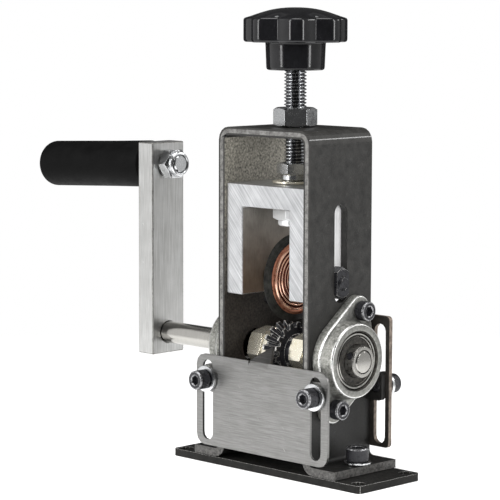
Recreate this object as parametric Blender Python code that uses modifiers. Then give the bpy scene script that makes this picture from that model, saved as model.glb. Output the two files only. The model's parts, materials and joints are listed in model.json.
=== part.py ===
"""Hand cranked cable stripping machine, modelled piece by piece in metres, +Z up.

X runs along the crank shaft with the crank on the -X side, -Y is the open front with the small
slotted plate, and the origin lies under the middle of the base.
"""
import math

import bmesh
import bpy
from mathutils import Matrix, Vector

# Clearances and overruns shared by all pieces
seat_gap = 0.0003
overrun = 0.002
edge_break = 0.0004
merge_distance = 0.00001

# Facets of round pieces
large_sides = 32
medium_sides = 24
small_sides = 16
screw_sides = 12
bend_steps = 4
corner_steps = 3
sharp_angle = math.radians(50)
smooth_angle = math.radians(35)
crown_smooth_angle = math.radians(40)
blade_smooth_angle = math.radians(15)
hex_sides = 6

# Metric fasteners
m5_diameter = 0.005
m5_head_diameter = 0.0087
m5_head_height = 0.0052
m5_socket_flats = 0.004
m5_socket_depth = 0.0028
m6_diameter = 0.006
m6_head_diameter = 0.010
m6_head_height = 0.006
m6_socket_flats = 0.005
m6_socket_depth = 0.0035
m8_diameter = 0.008
m8_nut_flats = 0.013
m8_lock_nut_height = 0.008
m8_cap_head_diameter = 0.013
m8_cap_head_height = 0.008
m8_socket_flats = 0.006
m8_socket_depth = 0.004
m10_diameter = 0.010
m10_nut_flats = 0.017
m10_nut_height = 0.0084
m10_thin_nut_height = 0.005
small_m10_nut_flats = 0.014
flat_washer_diameter = 0.012
flat_washer_thickness = 0.0016
foot_washer_thickness = 0.001
grub_diameter = 0.003
nut_chamfer = 0.0006
head_chamfer = 0.0005
screw_end_chamfer = 0.0007
lock_nut_dome_share = 0.3
lock_nut_dome_width_share = 0.88

# Base plate
base_margin = 0.0143
base_depth = 0.040
base_thickness = 0.0034
base_corner_radius = 0.002
base_hole_diameter = 0.006
base_hole_inset = 0.0046

# Bent frame strip
strip_thickness = 0.0037
strip_bend_radius = 0.006
foot_reach = 0.0155
foot_bolt_reach = 0.0107
foot_bolt_length = 0.009
wall_hole_diameter = 0.016
slot_width = 0.0082
slot_drop = 0.00475
slot_rise = 0.0306
slot_corner_steps = 6

# Welded ears that hold the plate bolts
ear_reach = 0.0091
ear_height = 0.0125
ear_thickness = 0.0024
ear_root = 0.002
ear_inset = 0.0002
ear_corner_radius = 0.0015
ear_bolt_reach = 0.0054
plate_bolt_height = 0.0392
plate_bolt_head_height = 0.006

# Flange bearings
bearing_bolt_spacing = 0.045
bearing_tilt = math.radians(21.5)
housing_lobe_radius = 0.0065
flange_round_radius = 0.018
flange_thickness = 0.004
boss_radius = 0.0165
boss_root_radius = 0.0174
housing_depth = 0.0102
boss_rim_chamfer = 0.0008
boss_bore_chamfer = 0.0006
bearing_outer_diameter = 0.025
bearing_outer_width = 0.0091
seal_diameter = 0.022
seal_recess = 0.0005
bearing_ring_diameter = 0.014
bearing_ring_reach = 0.0136
grub_inset = 0.0026
grub_angles = (math.radians(243), math.radians(123))
housing_bolt_grip = 0.0036

# Drive shaft, feed wheel and crank
shaft_height = 0.053
shaft_diameter = 0.010
shaft_proud = 0.0006
wheel_radius = 0.0134
wheel_width = 0.0086
wheel_middle = -0.00275
wheel_hub_diameter = 0.016
wheel_hub_length = 0.00275
wheel_nut_turn = math.radians(13)
wheel_level_shares = (-0.5, -0.4, 0.0, 0.4, 0.5)
groove_depth = 0.0042
tooth_count = 17
tooth_gap_depth = 0.0022
tooth_point_shares = (0.0, 0.42, 0.54, 0.88)
arm_standoff = 0.0543
arm_thickness = 0.010
arm_width = 0.020
arm_length = 0.100
arm_hole_inset = 0.010
handle_hole_inset = 0.0105
arm_edge = 0.0004
arm_screw_length = 0.0045

# Hand grip, whose bolt sits a little askew in its hole
grip_droop = math.radians(2.85)
grip_diameter = 0.022
grip_length = 0.0733
grip_end_radius = 0.0045
grip_root_radius = 0.001
grip_recess_depth = 0.0095
handle_bolt_proud = 0.0003

# Cutter disc on its axle
cutter_radius = 0.01965
cutter_rest_gap = 0.00035
cutter_thickness = 0.003
cutter_bevel_width = 0.0031
cutter_edge_width = 0.0004
copper_radius = 0.0163
copper_step_shares = (1.0, 0.78, 0.69, 0.6)
copper_step_height = 0.0006
cutter_bush_diameter = 0.0125
cutter_bush_width = 0.0068
spacer_diameter = 0.0115
axle_reach = 0.0305
slot_nut_flats = 0.0125
slot_nut_width = 0.0077
slot_nut_height = 0.0052
slot_nut_chamfer = 0.0005

# Carriage block that carries the cutter
block_width = 0.0477
block_side_play = 0.00035
block_depth = 0.0374
block_height = 0.0495
block_below_axle = 0.0075
block_bar = 0.010
window_width = 0.0287

# Adjusting screw and knob
thrust_washer_diameter = 0.020
thrust_washer_thickness = 0.0011
screw_nut_collar_diameter = 0.013
screw_nut_collar_height = 0.0024
screw_nut_height = 0.0053
screw_nut_turn = math.radians(19)
top_nut_turn = math.radians(15)
lift_room = 0.0120
screw_showing = 0.0165
retaining_nut_height = 0.0085
screw_end_inset = 0.001
hub_top_diameter = 0.0268
hub_bottom_diameter = 0.0258
hub_height = 0.01225
hub_foot_radius = 0.001
knob_radius = 0.0235
knob_valley_depth = 0.0042
knob_lobes = 7
knob_points_per_lobe = 8
knob_turn = math.radians(-45)
knob_side_height = 0.01075
knob_dome_rise = 0.0045
knob_dome_shares = ((0.0, 0.93), (0.10, 1.0), (0.86, 1.0), (0.97, 0.96), (1.0, 0.9))
knob_crown_shares = ((0.3, 0.8), (0.6, 0.6), (0.87, 0.34), (1.0, 0.08))
knob_lobe_sharpness = 0.75
knob_screw_depth = 0.014

# Front plate with its pointed tooth
front_plate_thickness = 0.0012
front_plate_drop = 0.0305
front_plate_height = 0.0416
front_side_margin = 0.00725
front_corner_radius = 0.005
plate_slot_width = 0.0065
front_slot_margin = 0.00245
finger_width = 0.0128
finger_middle = -0.0013
finger_reach = 0.0086
finger_rise = 0.0062
finger_tip_width = 0.0004
finger_thickness = 0.001
finger_bend_drop = 0.0008
finger_root = 0.004
finger_bend_radius = 0.003
finger_side_overlap = 0.0002

# Rear plate with its column of cable holes
rear_plate_thickness = 0.002
rear_side_margin = 0.0055
rear_corner_radius = 0.0018
rear_plate_drop = 0.0277
rear_plate_height = 0.059
rear_slot_bottom_margin = 0.0015
rear_slot_top_margin = 0.0035
cable_hole_diameters = (0.0066, 0.0085, 0.011)
cable_hole_spacing_share = 1.12

# Places that follow from the sizes above
frame_inner_half = block_width / 2 + block_side_play
frame_outer_half = frame_inner_half + strip_thickness
foot_end = frame_outer_half + foot_reach
base_length = 2 * (foot_end + base_margin)
half_depth = base_depth / 2
foot_top = base_thickness + seat_gap + strip_thickness
plate_bolt_x = frame_outer_half + ear_bolt_reach
axle_height = shaft_height + wheel_radius + cutter_rest_gap + cutter_radius
block_bottom = axle_height - block_below_axle
block_top = block_bottom + block_height
window_top = block_top - block_bar
thrust_washer_bottom = block_top + seat_gap
screw_nut_bottom = thrust_washer_bottom + thrust_washer_thickness + seat_gap
screw_nut_top = screw_nut_bottom + screw_nut_collar_height + screw_nut_height
frame_underside = screw_nut_top + lift_room
frame_top = frame_underside + strip_thickness
top_nut_bottom = frame_top + seat_gap
knob_bottom = top_nut_bottom + m10_nut_height + screw_showing
arm_right_face = -frame_outer_half - arm_standoff
arm_centre_x = arm_right_face - arm_thickness / 2
arm_bottom = shaft_height - arm_hole_inset
handle_height = arm_bottom + arm_length - handle_hole_inset
shaft_right_end = frame_outer_half + bearing_ring_reach + shaft_proud
shaft_left_end = arm_right_face - arm_thickness + edge_break
front_plate_bottom = plate_bolt_height - front_plate_drop
front_plate_top = front_plate_bottom + front_plate_height
rear_plate_bottom = plate_bolt_height - rear_plate_drop


# Scene, materials and placing

def clear_scene():
    """Remove whatever objects the open file holds."""
    for thing in list(bpy.data.objects):
        bpy.data.objects.remove(thing, do_unlink=True)


def new_collection(name):
    """Make a collection under the scene's own."""
    collection = bpy.data.collections.new(name)
    bpy.context.scene.collection.children.link(collection)
    return collection


def finish(name, colour, roughness, metallic):
    """Make a plain Principled finish."""
    material = bpy.data.materials.new(name)
    material.use_nodes = True
    shader = material.node_tree.nodes["Principled BSDF"]
    shader.inputs["Base Color"].default_value = (*colour, 1)
    shader.inputs["Roughness"].default_value = roughness
    shader.inputs["Metallic"].default_value = metallic
    material.diffuse_color = (*colour, 1)
    return material


def joint_empty(name, place, turn=(0, 0, 0)):
    """Put an empty on a joint's axis, for the moving pieces to hang on."""
    empty = bpy.data.objects.new(name, None)
    empty.location = place
    empty.rotation_euler = turn
    empty.empty_display_size = m10_diameter
    parts.objects.link(empty)
    return empty


def add_piece(name, mesh, material, place=(0, 0, 0), turn=(0, 0, 0), parent=None):
    """Put a finished mesh into the assembly as one named piece."""
    mesh = mesh.copy() if mesh.users else mesh
    mesh.materials.clear()
    mesh.materials.append(material)
    piece = bpy.data.objects.new(name, mesh)
    parts.objects.link(piece)
    piece.rotation_euler = turn
    piece.location = Vector(place)
    if parent:
        piece.parent = parent
        piece.location = Vector(place) - parent.location
    return piece


# Modelling tools

def on_bench(mesh):
    """Hold a mesh as an object in the cutters' collection while it is worked on."""
    thing = bpy.data.objects.new("bench", mesh)
    thing.hide_render = True
    thing.display_type = "WIRE"
    cutters.objects.link(thing)
    return thing


def evaluated_mesh(thing):
    """Take the mesh that an object shows with its modifiers, and remove the object."""
    bpy.context.view_layer.update()
    depsgraph = bpy.context.evaluated_depsgraph_get()
    mesh = bpy.data.meshes.new_from_object(thing.evaluated_get(depsgraph))
    mesh.transform(thing.matrix_world)
    bpy.data.objects.remove(thing, do_unlink=True)
    bm = bmesh.new()
    bm.from_mesh(mesh)
    bmesh.ops.remove_doubles(bm, verts=bm.verts, dist=merge_distance)
    bmesh.ops.recalc_face_normals(bm, faces=bm.faces)
    bm.to_mesh(mesh)
    bm.free()
    return mesh


def from_bmesh(bm, matrix=None):
    """Turn a bmesh into a mesh, moved by a matrix."""
    if matrix:
        bmesh.ops.transform(bm, matrix=matrix, verts=bm.verts)
    bmesh.ops.recalc_face_normals(bm, faces=bm.faces)
    mesh = bpy.data.meshes.new("shape")
    bm.to_mesh(mesh)
    bm.free()
    return mesh


def moved(mesh, place=(0, 0, 0), turn_axis="Z", angle=0.0):
    """Turn a mesh about an axis through its origin and then move it."""
    mesh.transform(Matrix.Translation(place) @ Matrix.Rotation(angle, 4, turn_axis))
    return mesh


def along_x(mesh, place=(0, 0, 0)):
    """Lay a mesh that stands on Z along +X, and move it."""
    return moved(mesh, place, "Y", math.pi / 2)


def along_y(mesh, place=(0, 0, 0)):
    """Lay a mesh that stands on Z along -Y, and move it."""
    return moved(mesh, place, "X", math.pi / 2)


def combined(body, tool, operation):
    """Cut, join or intersect two meshes and return the result."""
    first = on_bench(body)
    second = on_bench(tool)
    boolean = first.modifiers.new("boolean", "BOOLEAN")
    boolean.operation = operation
    boolean.solver = "EXACT"
    boolean.object = second
    result = evaluated_mesh(first)
    bpy.data.objects.remove(second, do_unlink=True)
    return result


def cut(body, tool):
    """Take one mesh away from another."""
    return combined(body, tool, "DIFFERENCE")


def joined(body, tool):
    """Fuse two meshes into one body."""
    return combined(body, tool, "UNION")


def softened(mesh, width, segments=1):
    """Round or chamfer a mesh's sharp edges."""
    thing = on_bench(mesh)
    bevel = thing.modifiers.new("edges", "BEVEL")
    bevel.width = width
    bevel.segments = segments
    bevel.limit_method = "ANGLE"
    bevel.angle_limit = sharp_angle
    return evaluated_mesh(thing)


def block(size, centre=(0, 0, 0)):
    """A box of the given size."""
    bm = bmesh.new()
    bmesh.ops.create_cube(bm, size=1)
    bmesh.ops.scale(bm, vec=size, verts=bm.verts)
    return from_bmesh(bm, Matrix.Translation(centre))


def rod(diameter, length, sides=small_sides, bottom=0.0):
    """A round bar or a prism that stands on Z from a given height."""
    bm = bmesh.new()
    bmesh.ops.create_cone(bm, cap_ends=True, segments=sides, radius1=diameter / 2,
                          radius2=diameter / 2, depth=length)
    return from_bmesh(bm, Matrix.Translation((0, 0, bottom + length / 2)))


def hexagon(flats, height, bottom=0.0):
    """A hexagonal prism measured across its flats."""
    return rod(flats / math.cos(math.pi / hex_sides), height, hex_sides, bottom)


def turned(profile, sides, closed=False):
    """A solid turned about Z from (radius, height) points that run down the outer side."""
    mesh = bpy.data.meshes.new("profile")
    points = [(radius, 0, height) for radius, height in profile]
    edges = [(index, index + 1) for index in range(len(points) - 1)]
    if closed:
        edges.append((len(points) - 1, 0))
    mesh.from_pydata(points, edges, [])
    thing = on_bench(mesh)
    screw = thing.modifiers.new("turn", "SCREW")
    screw.steps = sides
    screw.render_steps = sides
    screw.use_merge_vertices = True
    screw.merge_threshold = merge_distance
    return evaluated_mesh(thing)


def ring(outer_diameter, inner_diameter, height, sides, chamfer=0.0, bottom=0.0):
    """A turned ring or washer with chamfered outer edges."""
    outer = outer_diameter / 2
    inner = inner_diameter / 2
    top = bottom + height
    profile = [(inner, top), (outer - chamfer, top)]
    if chamfer:
        profile += [(outer, top - chamfer), (outer, bottom + chamfer)]
    profile += [(outer - chamfer, bottom), (inner, bottom)]
    return turned(profile, sides, closed=True)


def flat_shape(outline, thickness):
    """A flat outline in X and Y, filled and given its thickness about Z = 0."""
    curve = bpy.data.curves.new("outline", "CURVE")
    curve.dimensions = "2D"
    curve.fill_mode = "BOTH"
    curve.extrude = thickness / 2
    spline = curve.splines.new("POLY")
    spline.points.add(len(outline) - 1)
    for point, (x, y) in zip(spline.points, outline):
        point.co = (x, y, 0, 1)
    spline.use_cyclic_u = True
    return evaluated_mesh(on_bench(curve))


def arc(centre, radius, start, end, steps):
    """Points along an arc, both ends included."""
    angles = [start + (end - start) * step / steps for step in range(steps + 1)]
    return [(centre[0] + radius * math.cos(angle), centre[1] + radius * math.sin(angle))
            for angle in angles]


def rounded_rectangle(width, height, radius, centre=(0, 0)):
    """The outline of a rectangle with round corners, or of a slot where the radius is half."""
    outline = []
    for quarter, (side_x, side_y) in enumerate(((1, 1), (-1, 1), (-1, -1), (1, -1))):
        corner = (centre[0] + side_x * (width / 2 - radius), centre[1] + side_y * (height / 2 - radius))
        start = quarter * math.pi / 2
        outline += arc(corner, radius, start, start + math.pi / 2, corner_steps)
    return outline


def slot_outline(width, height, centre, steps=2 * corner_steps):
    """The outline of an upright slot with half-round ends."""
    reach = height / 2 - width / 2
    top = (centre[0], centre[1] + reach)
    bottom = (centre[0], centre[1] - reach)
    return (arc(top, width / 2, 0, math.pi, steps)
            + arc(bottom, width / 2, math.pi, 2 * math.pi, steps))


def strip_outline(path, thickness, outer_radius):
    """The side view of a strip bent along a path of centre points."""
    radius = outer_radius - thickness / 2
    stations = [(Vector(path[0]), (Vector(path[1]) - Vector(path[0])).normalized())]
    for before, corner, after in zip(path, path[1:], path[2:]):
        corner = Vector(corner)
        way_in = (corner - Vector(before)).normalized()
        way_out = (Vector(after) - corner).normalized()
        bend = way_in.angle_signed(way_out)
        side = 1 if way_in.cross(way_out) > 0 else -1
        start = corner - way_in * radius * math.tan(abs(bend) / 2)
        middle = start + side * radius * Vector((-way_in.y, way_in.x))
        for step in range(bend_steps + 1):
            turn = Matrix.Rotation(side * abs(bend) * step / bend_steps, 2)
            stations.append((middle + turn @ (start - middle), turn @ way_in))
    stations.append((Vector(path[-1]), (Vector(path[-1]) - Vector(path[-2])).normalized()))
    left = []
    right = []
    for point, heading in stations:
        across = Vector((-heading.y, heading.x)) * thickness / 2
        left.append(tuple(point + across))
        right.append(tuple(point - across))
    return left + right[::-1]


def stacked_rings(sides, heights, point_at):
    """A closed solid bridged from ring to ring; point_at gives each point's radius and angle."""
    bm = bmesh.new()
    below = None
    for level, height in enumerate(heights):
        ring_verts = bmesh.ops.create_circle(bm, segments=sides, radius=1)["verts"]
        for number, vert in enumerate(ring_verts):
            radius, angle = point_at(level, number)
            vert.co = (radius * math.cos(angle), radius * math.sin(angle), height)
        edges = [edge for edge in bm.edges if edge.verts[0] in ring_verts and edge.verts[1] in ring_verts]
        if below:
            bmesh.ops.bridge_loops(bm, edges=below + edges)
        below = edges
    bmesh.ops.holes_fill(bm, edges=bm.edges)
    return from_bmesh(bm)


def smooth_round(piece, limit=smooth_angle):
    """Shade a round piece smooth and keep its real edges sharp."""
    piece.data.shade_smooth()
    piece.data.set_sharp_from_angle(angle=limit)


# Fasteners, each modelled once and placed several times

def socket_screw(diameter, length, head_diameter, head_height, socket_flats, socket_depth):
    """A socket head cap screw: its head stands on Z = 0 and its shank hangs below."""
    head = head_diameter / 2
    shank = diameter / 2
    profile = [(0, head_height), (head - head_chamfer, head_height), (head, head_height - head_chamfer),
               (head, 0), (shank, 0), (shank, screw_end_chamfer - length),
               (shank - screw_end_chamfer, -length), (0, -length)]
    body = turned(profile, small_sides)
    socket = hexagon(socket_flats, socket_depth + overrun, head_height - socket_depth)
    return cut(body, socket)


def hex_nut(flats, height, bore):
    """A hexagonal nut with chamfered corners, standing on Z = 0."""
    corner = flats / 2 / math.cos(math.pi / hex_sides)
    round_form = turned([(0, height), (flats / 2, height), (corner, height - nut_chamfer),
                         (corner, nut_chamfer), (flats / 2, 0), (0, 0)], small_sides)
    prism = hexagon(flats, height + 2 * overrun, -overrun)
    body = combined(prism, round_form, "INTERSECT")
    return cut(body, rod(bore, height + 2 * overrun, screw_sides, -overrun))


def lock_nut(flats, height, bore):
    """A hexagonal nut with the round collar of its locking ring on top."""
    dome_height = height * lock_nut_dome_share
    dome_diameter = flats * lock_nut_dome_width_share
    body = hex_nut(flats, height - dome_height, bore)
    collar = ring(dome_diameter, bore, dome_height + nut_chamfer, small_sides, nut_chamfer,
                  height - dome_height - nut_chamfer)
    return joined(body, collar)


def washer(diameter, bore, thickness):
    """A flat washer standing on Z = 0."""
    return ring(diameter, bore, thickness, small_sides)


# Base and frame

def base_plate():
    """The flat bar under the frame, with a screw hole in each corner."""
    plate = flat_shape(rounded_rectangle(base_length, base_depth, base_corner_radius), base_thickness)
    plate = moved(plate, (0, 0, base_thickness / 2))
    for side_x in (-1, 1):
        for side_y in (-1, 1):
            hole_x = base_length / 2 - base_hole_inset
            place = (side_x * hole_x, side_y * (half_depth - base_hole_inset), 0)
            hole = rod(base_hole_diameter, base_thickness + 2 * overrun, screw_sides, -overrun)
            plate = cut(plate, moved(hole, place))
        bolt_hole = rod(m6_diameter + 2 * seat_gap, base_thickness + 2 * overrun, screw_sides, -overrun)
        plate = cut(plate, moved(bolt_hole, (side_x * (frame_outer_half + foot_bolt_reach), 0, 0)))
    add_piece("base_plate", plate, black_paint)


def frame_ears(frame):
    """Weld the four ears to the walls and drill them for the plate bolts."""
    middle_x = frame_outer_half + ear_reach / 2 - ear_root / 2
    for side_x in (-1, 1):
        for side_y in (-1, 1):
            outline = rounded_rectangle(ear_reach + ear_root, ear_height, ear_corner_radius)
            place_y = side_y * (half_depth - ear_thickness / 2 - ear_inset)
            ear = along_y(flat_shape(outline, ear_thickness),
                          (side_x * middle_x, place_y, plate_bolt_height))
            frame = joined(frame, ear)
        hole = rod(m5_diameter + 2 * seat_gap, base_depth + 2 * overrun, screw_sides,
                   -half_depth - overrun)
        frame = cut(frame, along_y(hole, (side_x * plate_bolt_x, 0, plate_bolt_height)))
    return frame


def frame_strip():
    """The hat-shaped frame, bent from one strip, with its slots and holes."""
    low = base_thickness + seat_gap + strip_thickness / 2
    high = frame_top - strip_thickness / 2
    wall = frame_outer_half - strip_thickness / 2
    path = [(foot_end, low), (wall, low), (wall, high), (-wall, high), (-wall, low), (-foot_end, low)]
    outline = strip_outline(path, strip_thickness, strip_bend_radius)
    frame = along_y(flat_shape(outline, base_depth))
    across = 2 * (frame_outer_half + ear_reach)
    slot_length = slot_drop + slot_rise + slot_width
    slot_middle = axle_height + (slot_rise - slot_drop) / 2
    slot = flat_shape(slot_outline(slot_width, slot_length, (0, 0), 2 * slot_corner_steps), across)
    slot = moved(moved(slot, angle=math.pi / 2, turn_axis="X"), (0, 0, slot_middle), "Z", math.pi / 2)
    frame = cut(frame, slot)
    frame = cut(frame, along_x(rod(wall_hole_diameter, across, medium_sides, -across / 2),
                               (0, 0, shaft_height)))
    for side in (-1, 1):
        for lobe in (-1, 1):
            hole = rod(m5_diameter + 2 * seat_gap, strip_thickness + 2 * overrun, screw_sides,
                       frame_inner_half - overrun)
            frame = cut(frame, along_x(hole, lobe_centre(lobe)) if side > 0
                        else moved(hole, lobe_centre(lobe), "Y", -math.pi / 2))
        foot_hole = rod(m6_diameter + 2 * seat_gap, strip_thickness + 2 * overrun, screw_sides,
                        base_thickness - overrun)
        frame = cut(frame, moved(foot_hole, (side * (frame_outer_half + foot_bolt_reach), 0, 0)))
    screw_hole = rod(m10_diameter + 2 * seat_gap, strip_thickness + 2 * overrun, small_sides,
                     frame_underside - overrun)
    frame = cut(frame, screw_hole)
    add_piece("frame_strip", frame_ears(frame), black_paint)


def foot_fasteners():
    """A socket screw and a washer on each foot."""
    bolt = socket_screw(m6_diameter, foot_bolt_length, m6_head_diameter, m6_head_height, m6_socket_flats,
                        m6_socket_depth)
    flat = washer(flat_washer_diameter, m6_diameter + 2 * seat_gap, foot_washer_thickness)
    for side, word in ((-1, "left"), (1, "right")):
        place = (side * (frame_outer_half + foot_bolt_reach), 0, foot_top + seat_gap)
        add_piece(f"foot_washer_{word}", flat, zinc, place)
        head_place = (place[0], place[1], place[2] + foot_washer_thickness + seat_gap)
        smooth_round(add_piece(f"foot_bolt_{word}", bolt, black_steel, head_place))


# Flange bearings

def lobe_centre(lobe):
    """The middle of a housing bolt, seen along X; the upper one leans to the back."""
    reach = lobe * bearing_bolt_spacing / 2
    return (0, reach * math.sin(bearing_tilt), shaft_height + reach * math.cos(bearing_tilt))


def flange_outline():
    """A round middle and two small lobes, joined by their tangent lines."""
    reach = bearing_bolt_spacing / 2
    opening = math.acos((flange_round_radius - housing_lobe_radius) / reach)
    right_lobe = arc((reach, 0), housing_lobe_radius, -opening, opening, 2 * bend_steps)
    top = arc((0, 0), flange_round_radius, opening, math.pi - opening, 2 * bend_steps)
    left_lobe = arc((-reach, 0), housing_lobe_radius, math.pi - opening, math.pi + opening, 2 * bend_steps)
    bottom = arc((0, 0), flange_round_radius, math.pi + opening, 2 * math.pi - opening, 2 * bend_steps)
    return right_lobe + top + left_lobe + bottom


def housing_mesh():
    """The cast two-bolt housing, its back on Z = 0 and its lobes along X."""
    flange = moved(flat_shape(flange_outline(), flange_thickness), (0, 0, flange_thickness / 2))
    boss = turned([(0, housing_depth), (boss_radius - boss_rim_chamfer, housing_depth),
                   (boss_radius, housing_depth - boss_rim_chamfer),
                   (boss_root_radius - edge_break, overrun), (0, overrun)], large_sides)
    housing = joined(flange, boss)
    bore = bearing_outer_diameter / 2 + seat_gap
    rim = housing_depth + overrun
    opening = turned([(0, rim), (bore + boss_bore_chamfer + overrun, rim),
                      (bore, housing_depth - boss_bore_chamfer), (bore, -overrun), (0, -overrun)],
                     large_sides)
    housing = cut(housing, opening)
    for lobe in (-1, 1):
        hole = rod(m5_diameter + 2 * seat_gap, flange_thickness + 2 * overrun, screw_sides, -overrun)
        housing = cut(housing, moved(hole, (lobe * bearing_bolt_spacing / 2, 0, 0)))
    return housing


def facing(side, spin=0.0):
    """The turn that lays a piece standing on Z along X, outwards, after a spin about itself."""
    return (Matrix.Rotation(side * math.pi / 2, 4, "Y") @ Matrix.Rotation(spin, 4, "Z")).to_euler()


def bearing_ring_mesh():
    """The inner ring: a sleeve with a threaded hole for each grub screw."""
    sleeve = ring(bearing_ring_diameter, shaft_diameter + 2 * seat_gap, bearing_ring_reach, medium_sides,
                  edge_break)
    for angle in grub_angles:
        hole = along_x(rod(grub_diameter + 2 * seat_gap, bearing_ring_diameter, screw_sides))
        sleeve = cut(sleeve, moved(hole, (0, 0, bearing_ring_reach - grub_inset), "Z", angle))
    return sleeve


def bearing_outer_mesh():
    """The outer ring with its seal set a little below its face."""
    outer = bearing_outer_diameter / 2
    seal = seal_diameter / 2
    inner = bearing_ring_diameter / 2 + seat_gap
    seal_face = bearing_outer_width - seal_recess
    return turned([(inner, seal_face), (seal, seal_face), (seal, bearing_outer_width),
                   (outer, bearing_outer_width), (outer, 0), (inner, 0)], large_sides, closed=True)


def bearings():
    """Housing, outer ring, inner ring and screws of the bearing on each wall."""
    housing = housing_mesh()
    outer = bearing_outer_mesh()
    inner = bearing_ring_mesh()
    grub_length = (bearing_ring_diameter - shaft_diameter) / 2 - seat_gap
    grub = rod(grub_diameter, grub_length, screw_sides)
    bolt = socket_screw(m5_diameter, flange_thickness + housing_bolt_grip, m5_head_diameter, m5_head_height,
                        m5_socket_flats, m5_socket_depth)
    for side, word in ((-1, "left"), (1, "right")):
        back = side * (frame_outer_half + seat_gap)
        turn = facing(side)
        lean = Matrix.Rotation(-bearing_tilt, 4, "X") @ turn.to_matrix().to_4x4()
        smooth_round(add_piece(f"bearing_housing_{word}", housing, cast_zinc, (back, 0, shaft_height),
                               lean.to_euler()))
        smooth_round(add_piece(f"bearing_outer_{word}", outer, seal_grey,
                               (back + side * seat_gap, 0, shaft_height), turn))
        smooth_round(add_piece(f"bearing_ring_{word}", inner, bright_steel, (back, 0, shaft_height), turn,
                               crank_axis))
        for number, angle in enumerate(grub_angles):
            out = turn.to_matrix() @ Vector((math.cos(angle), math.sin(angle), 0))
            root = shaft_diameter / 2 + seat_gap
            place = Vector((back + side * (bearing_ring_reach - grub_inset), 0, shaft_height)) + out * root
            aim = Vector((0, 0, 1)).rotation_difference(out).to_euler()
            add_piece(f"bearing_grub_{word}_{number + 1}", grub, black_steel, place, aim, crank_axis)
        for lobe, level in ((-1, "lower"), (1, "upper")):
            seat = frame_outer_half + 2 * seat_gap + flange_thickness
            place = Vector(lobe_centre(lobe)) + Vector((side * seat, 0, 0))
            smooth_round(add_piece(f"housing_bolt_{word}_{level}", bolt, black_steel, place, turn))


# Drive shaft, feed wheel and crank

def wheel_point(level, number):
    """A point on the feed wheel: a V groove around it, with a ring of teeth on both slopes."""
    tooth, corner = divmod(number, len(tooth_point_shares))
    angle = (tooth + tooth_point_shares[corner]) * 2 * math.pi / tooth_count
    in_groove = level == len(wheel_level_shares) // 2
    in_gap = corner >= len(tooth_point_shares) // 2
    radius = wheel_radius - (groove_depth if in_groove else 0) - (tooth_gap_depth if in_gap else 0)
    return radius, angle


def feed_wheel_mesh():
    """The hobbed feed wheel: toothed rims, slopes that meet in a V, and a smooth hub on one side."""
    heights = [share * wheel_width for share in wheel_level_shares]
    body = stacked_rings(tooth_count * len(tooth_point_shares), heights, wheel_point)
    hub_end = wheel_width / 2 + wheel_hub_length
    hub = rod(wheel_hub_diameter, hub_end, medium_sides)
    body = joined(body, hub)
    reach = wheel_width + wheel_hub_length + 2 * overrun
    return cut(body, rod(shaft_diameter + 2 * seat_gap, reach, small_sides, -wheel_width / 2 - overrun))


def drive_train():
    """The shaft with the feed wheel and the nuts that clamp it."""
    length = shaft_right_end - shaft_left_end
    radius = shaft_diameter / 2
    shaft = turned([(0, length), (radius - edge_break, length), (radius, length - edge_break),
                    (radius, edge_break), (radius - edge_break, 0), (0, 0)], medium_sides)
    smooth_round(add_piece("drive_shaft", shaft, bright_steel, (shaft_left_end, 0, shaft_height),
                           facing(1), crank_axis))
    add_piece("feed_wheel", feed_wheel_mesh(), black_steel, (wheel_middle, 0, shaft_height), facing(1),
              crank_axis)
    full_nut = hex_nut(m10_nut_flats, m10_nut_height, shaft_diameter + 2 * seat_gap)
    thin_nut = hex_nut(m10_nut_flats, m10_thin_nut_height, shaft_diameter + 2 * seat_gap)
    left_face = wheel_middle - wheel_width / 2
    right_face = wheel_middle + wheel_width / 2 + wheel_hub_length
    for side, word, face, nut, height in ((-1, "left", left_face, thin_nut, m10_thin_nut_height),
                                          (1, "right", right_face, full_nut, m10_nut_height)):
        first = face + side * seat_gap
        second = first + side * (height + seat_gap)
        turn = facing(side, side * wheel_nut_turn)
        for kind, mesh, x in (("nut", nut, first), ("locknut", full_nut, second)):
            add_piece(f"wheel_{kind}_{word}", mesh, yellow_zinc, (x, 0, shaft_height), turn, crank_axis)


def crank_arm():
    """The flat bar between the shaft and the handle, with its grub screw from below."""
    bar = softened(block((arm_thickness, arm_width, arm_length)), arm_edge)
    bar = moved(bar, (arm_centre_x, 0, arm_bottom + arm_length / 2))
    reach = arm_thickness + 2 * overrun
    shaft_hole = along_x(rod(shaft_diameter + 2 * seat_gap, reach, small_sides, -reach / 2),
                         (arm_centre_x, 0, shaft_height))
    bar = cut(bar, shaft_hole)
    play = arm_thickness * math.tan(grip_droop)
    bolt_hole = along_x(rod(m8_diameter + 2 * seat_gap + play, reach, small_sides, -reach / 2),
                        (arm_centre_x, 0, handle_height))
    bar = cut(bar, bolt_hole)
    screw_hole = rod(m6_diameter + 2 * seat_gap, arm_hole_inset + overrun, screw_sides, arm_bottom - overrun)
    bar = cut(bar, moved(screw_hole, (arm_centre_x, 0, 0)))
    place = Vector((arm_centre_x, 0, shaft_height))
    bar.transform(Matrix.Translation(-place))
    add_piece("crank_arm", bar, aluminium, place, parent=crank_axis)
    grub = cut(rod(m6_diameter, arm_screw_length, small_sides),
               hexagon(m6_diameter / 2, arm_screw_length, -arm_screw_length / 2))
    top = shaft_height - shaft_diameter / 2 - seat_gap
    add_piece("arm_grub_screw", grub, black_steel, (arm_centre_x, 0, top - arm_screw_length),
              parent=crank_axis)


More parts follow.
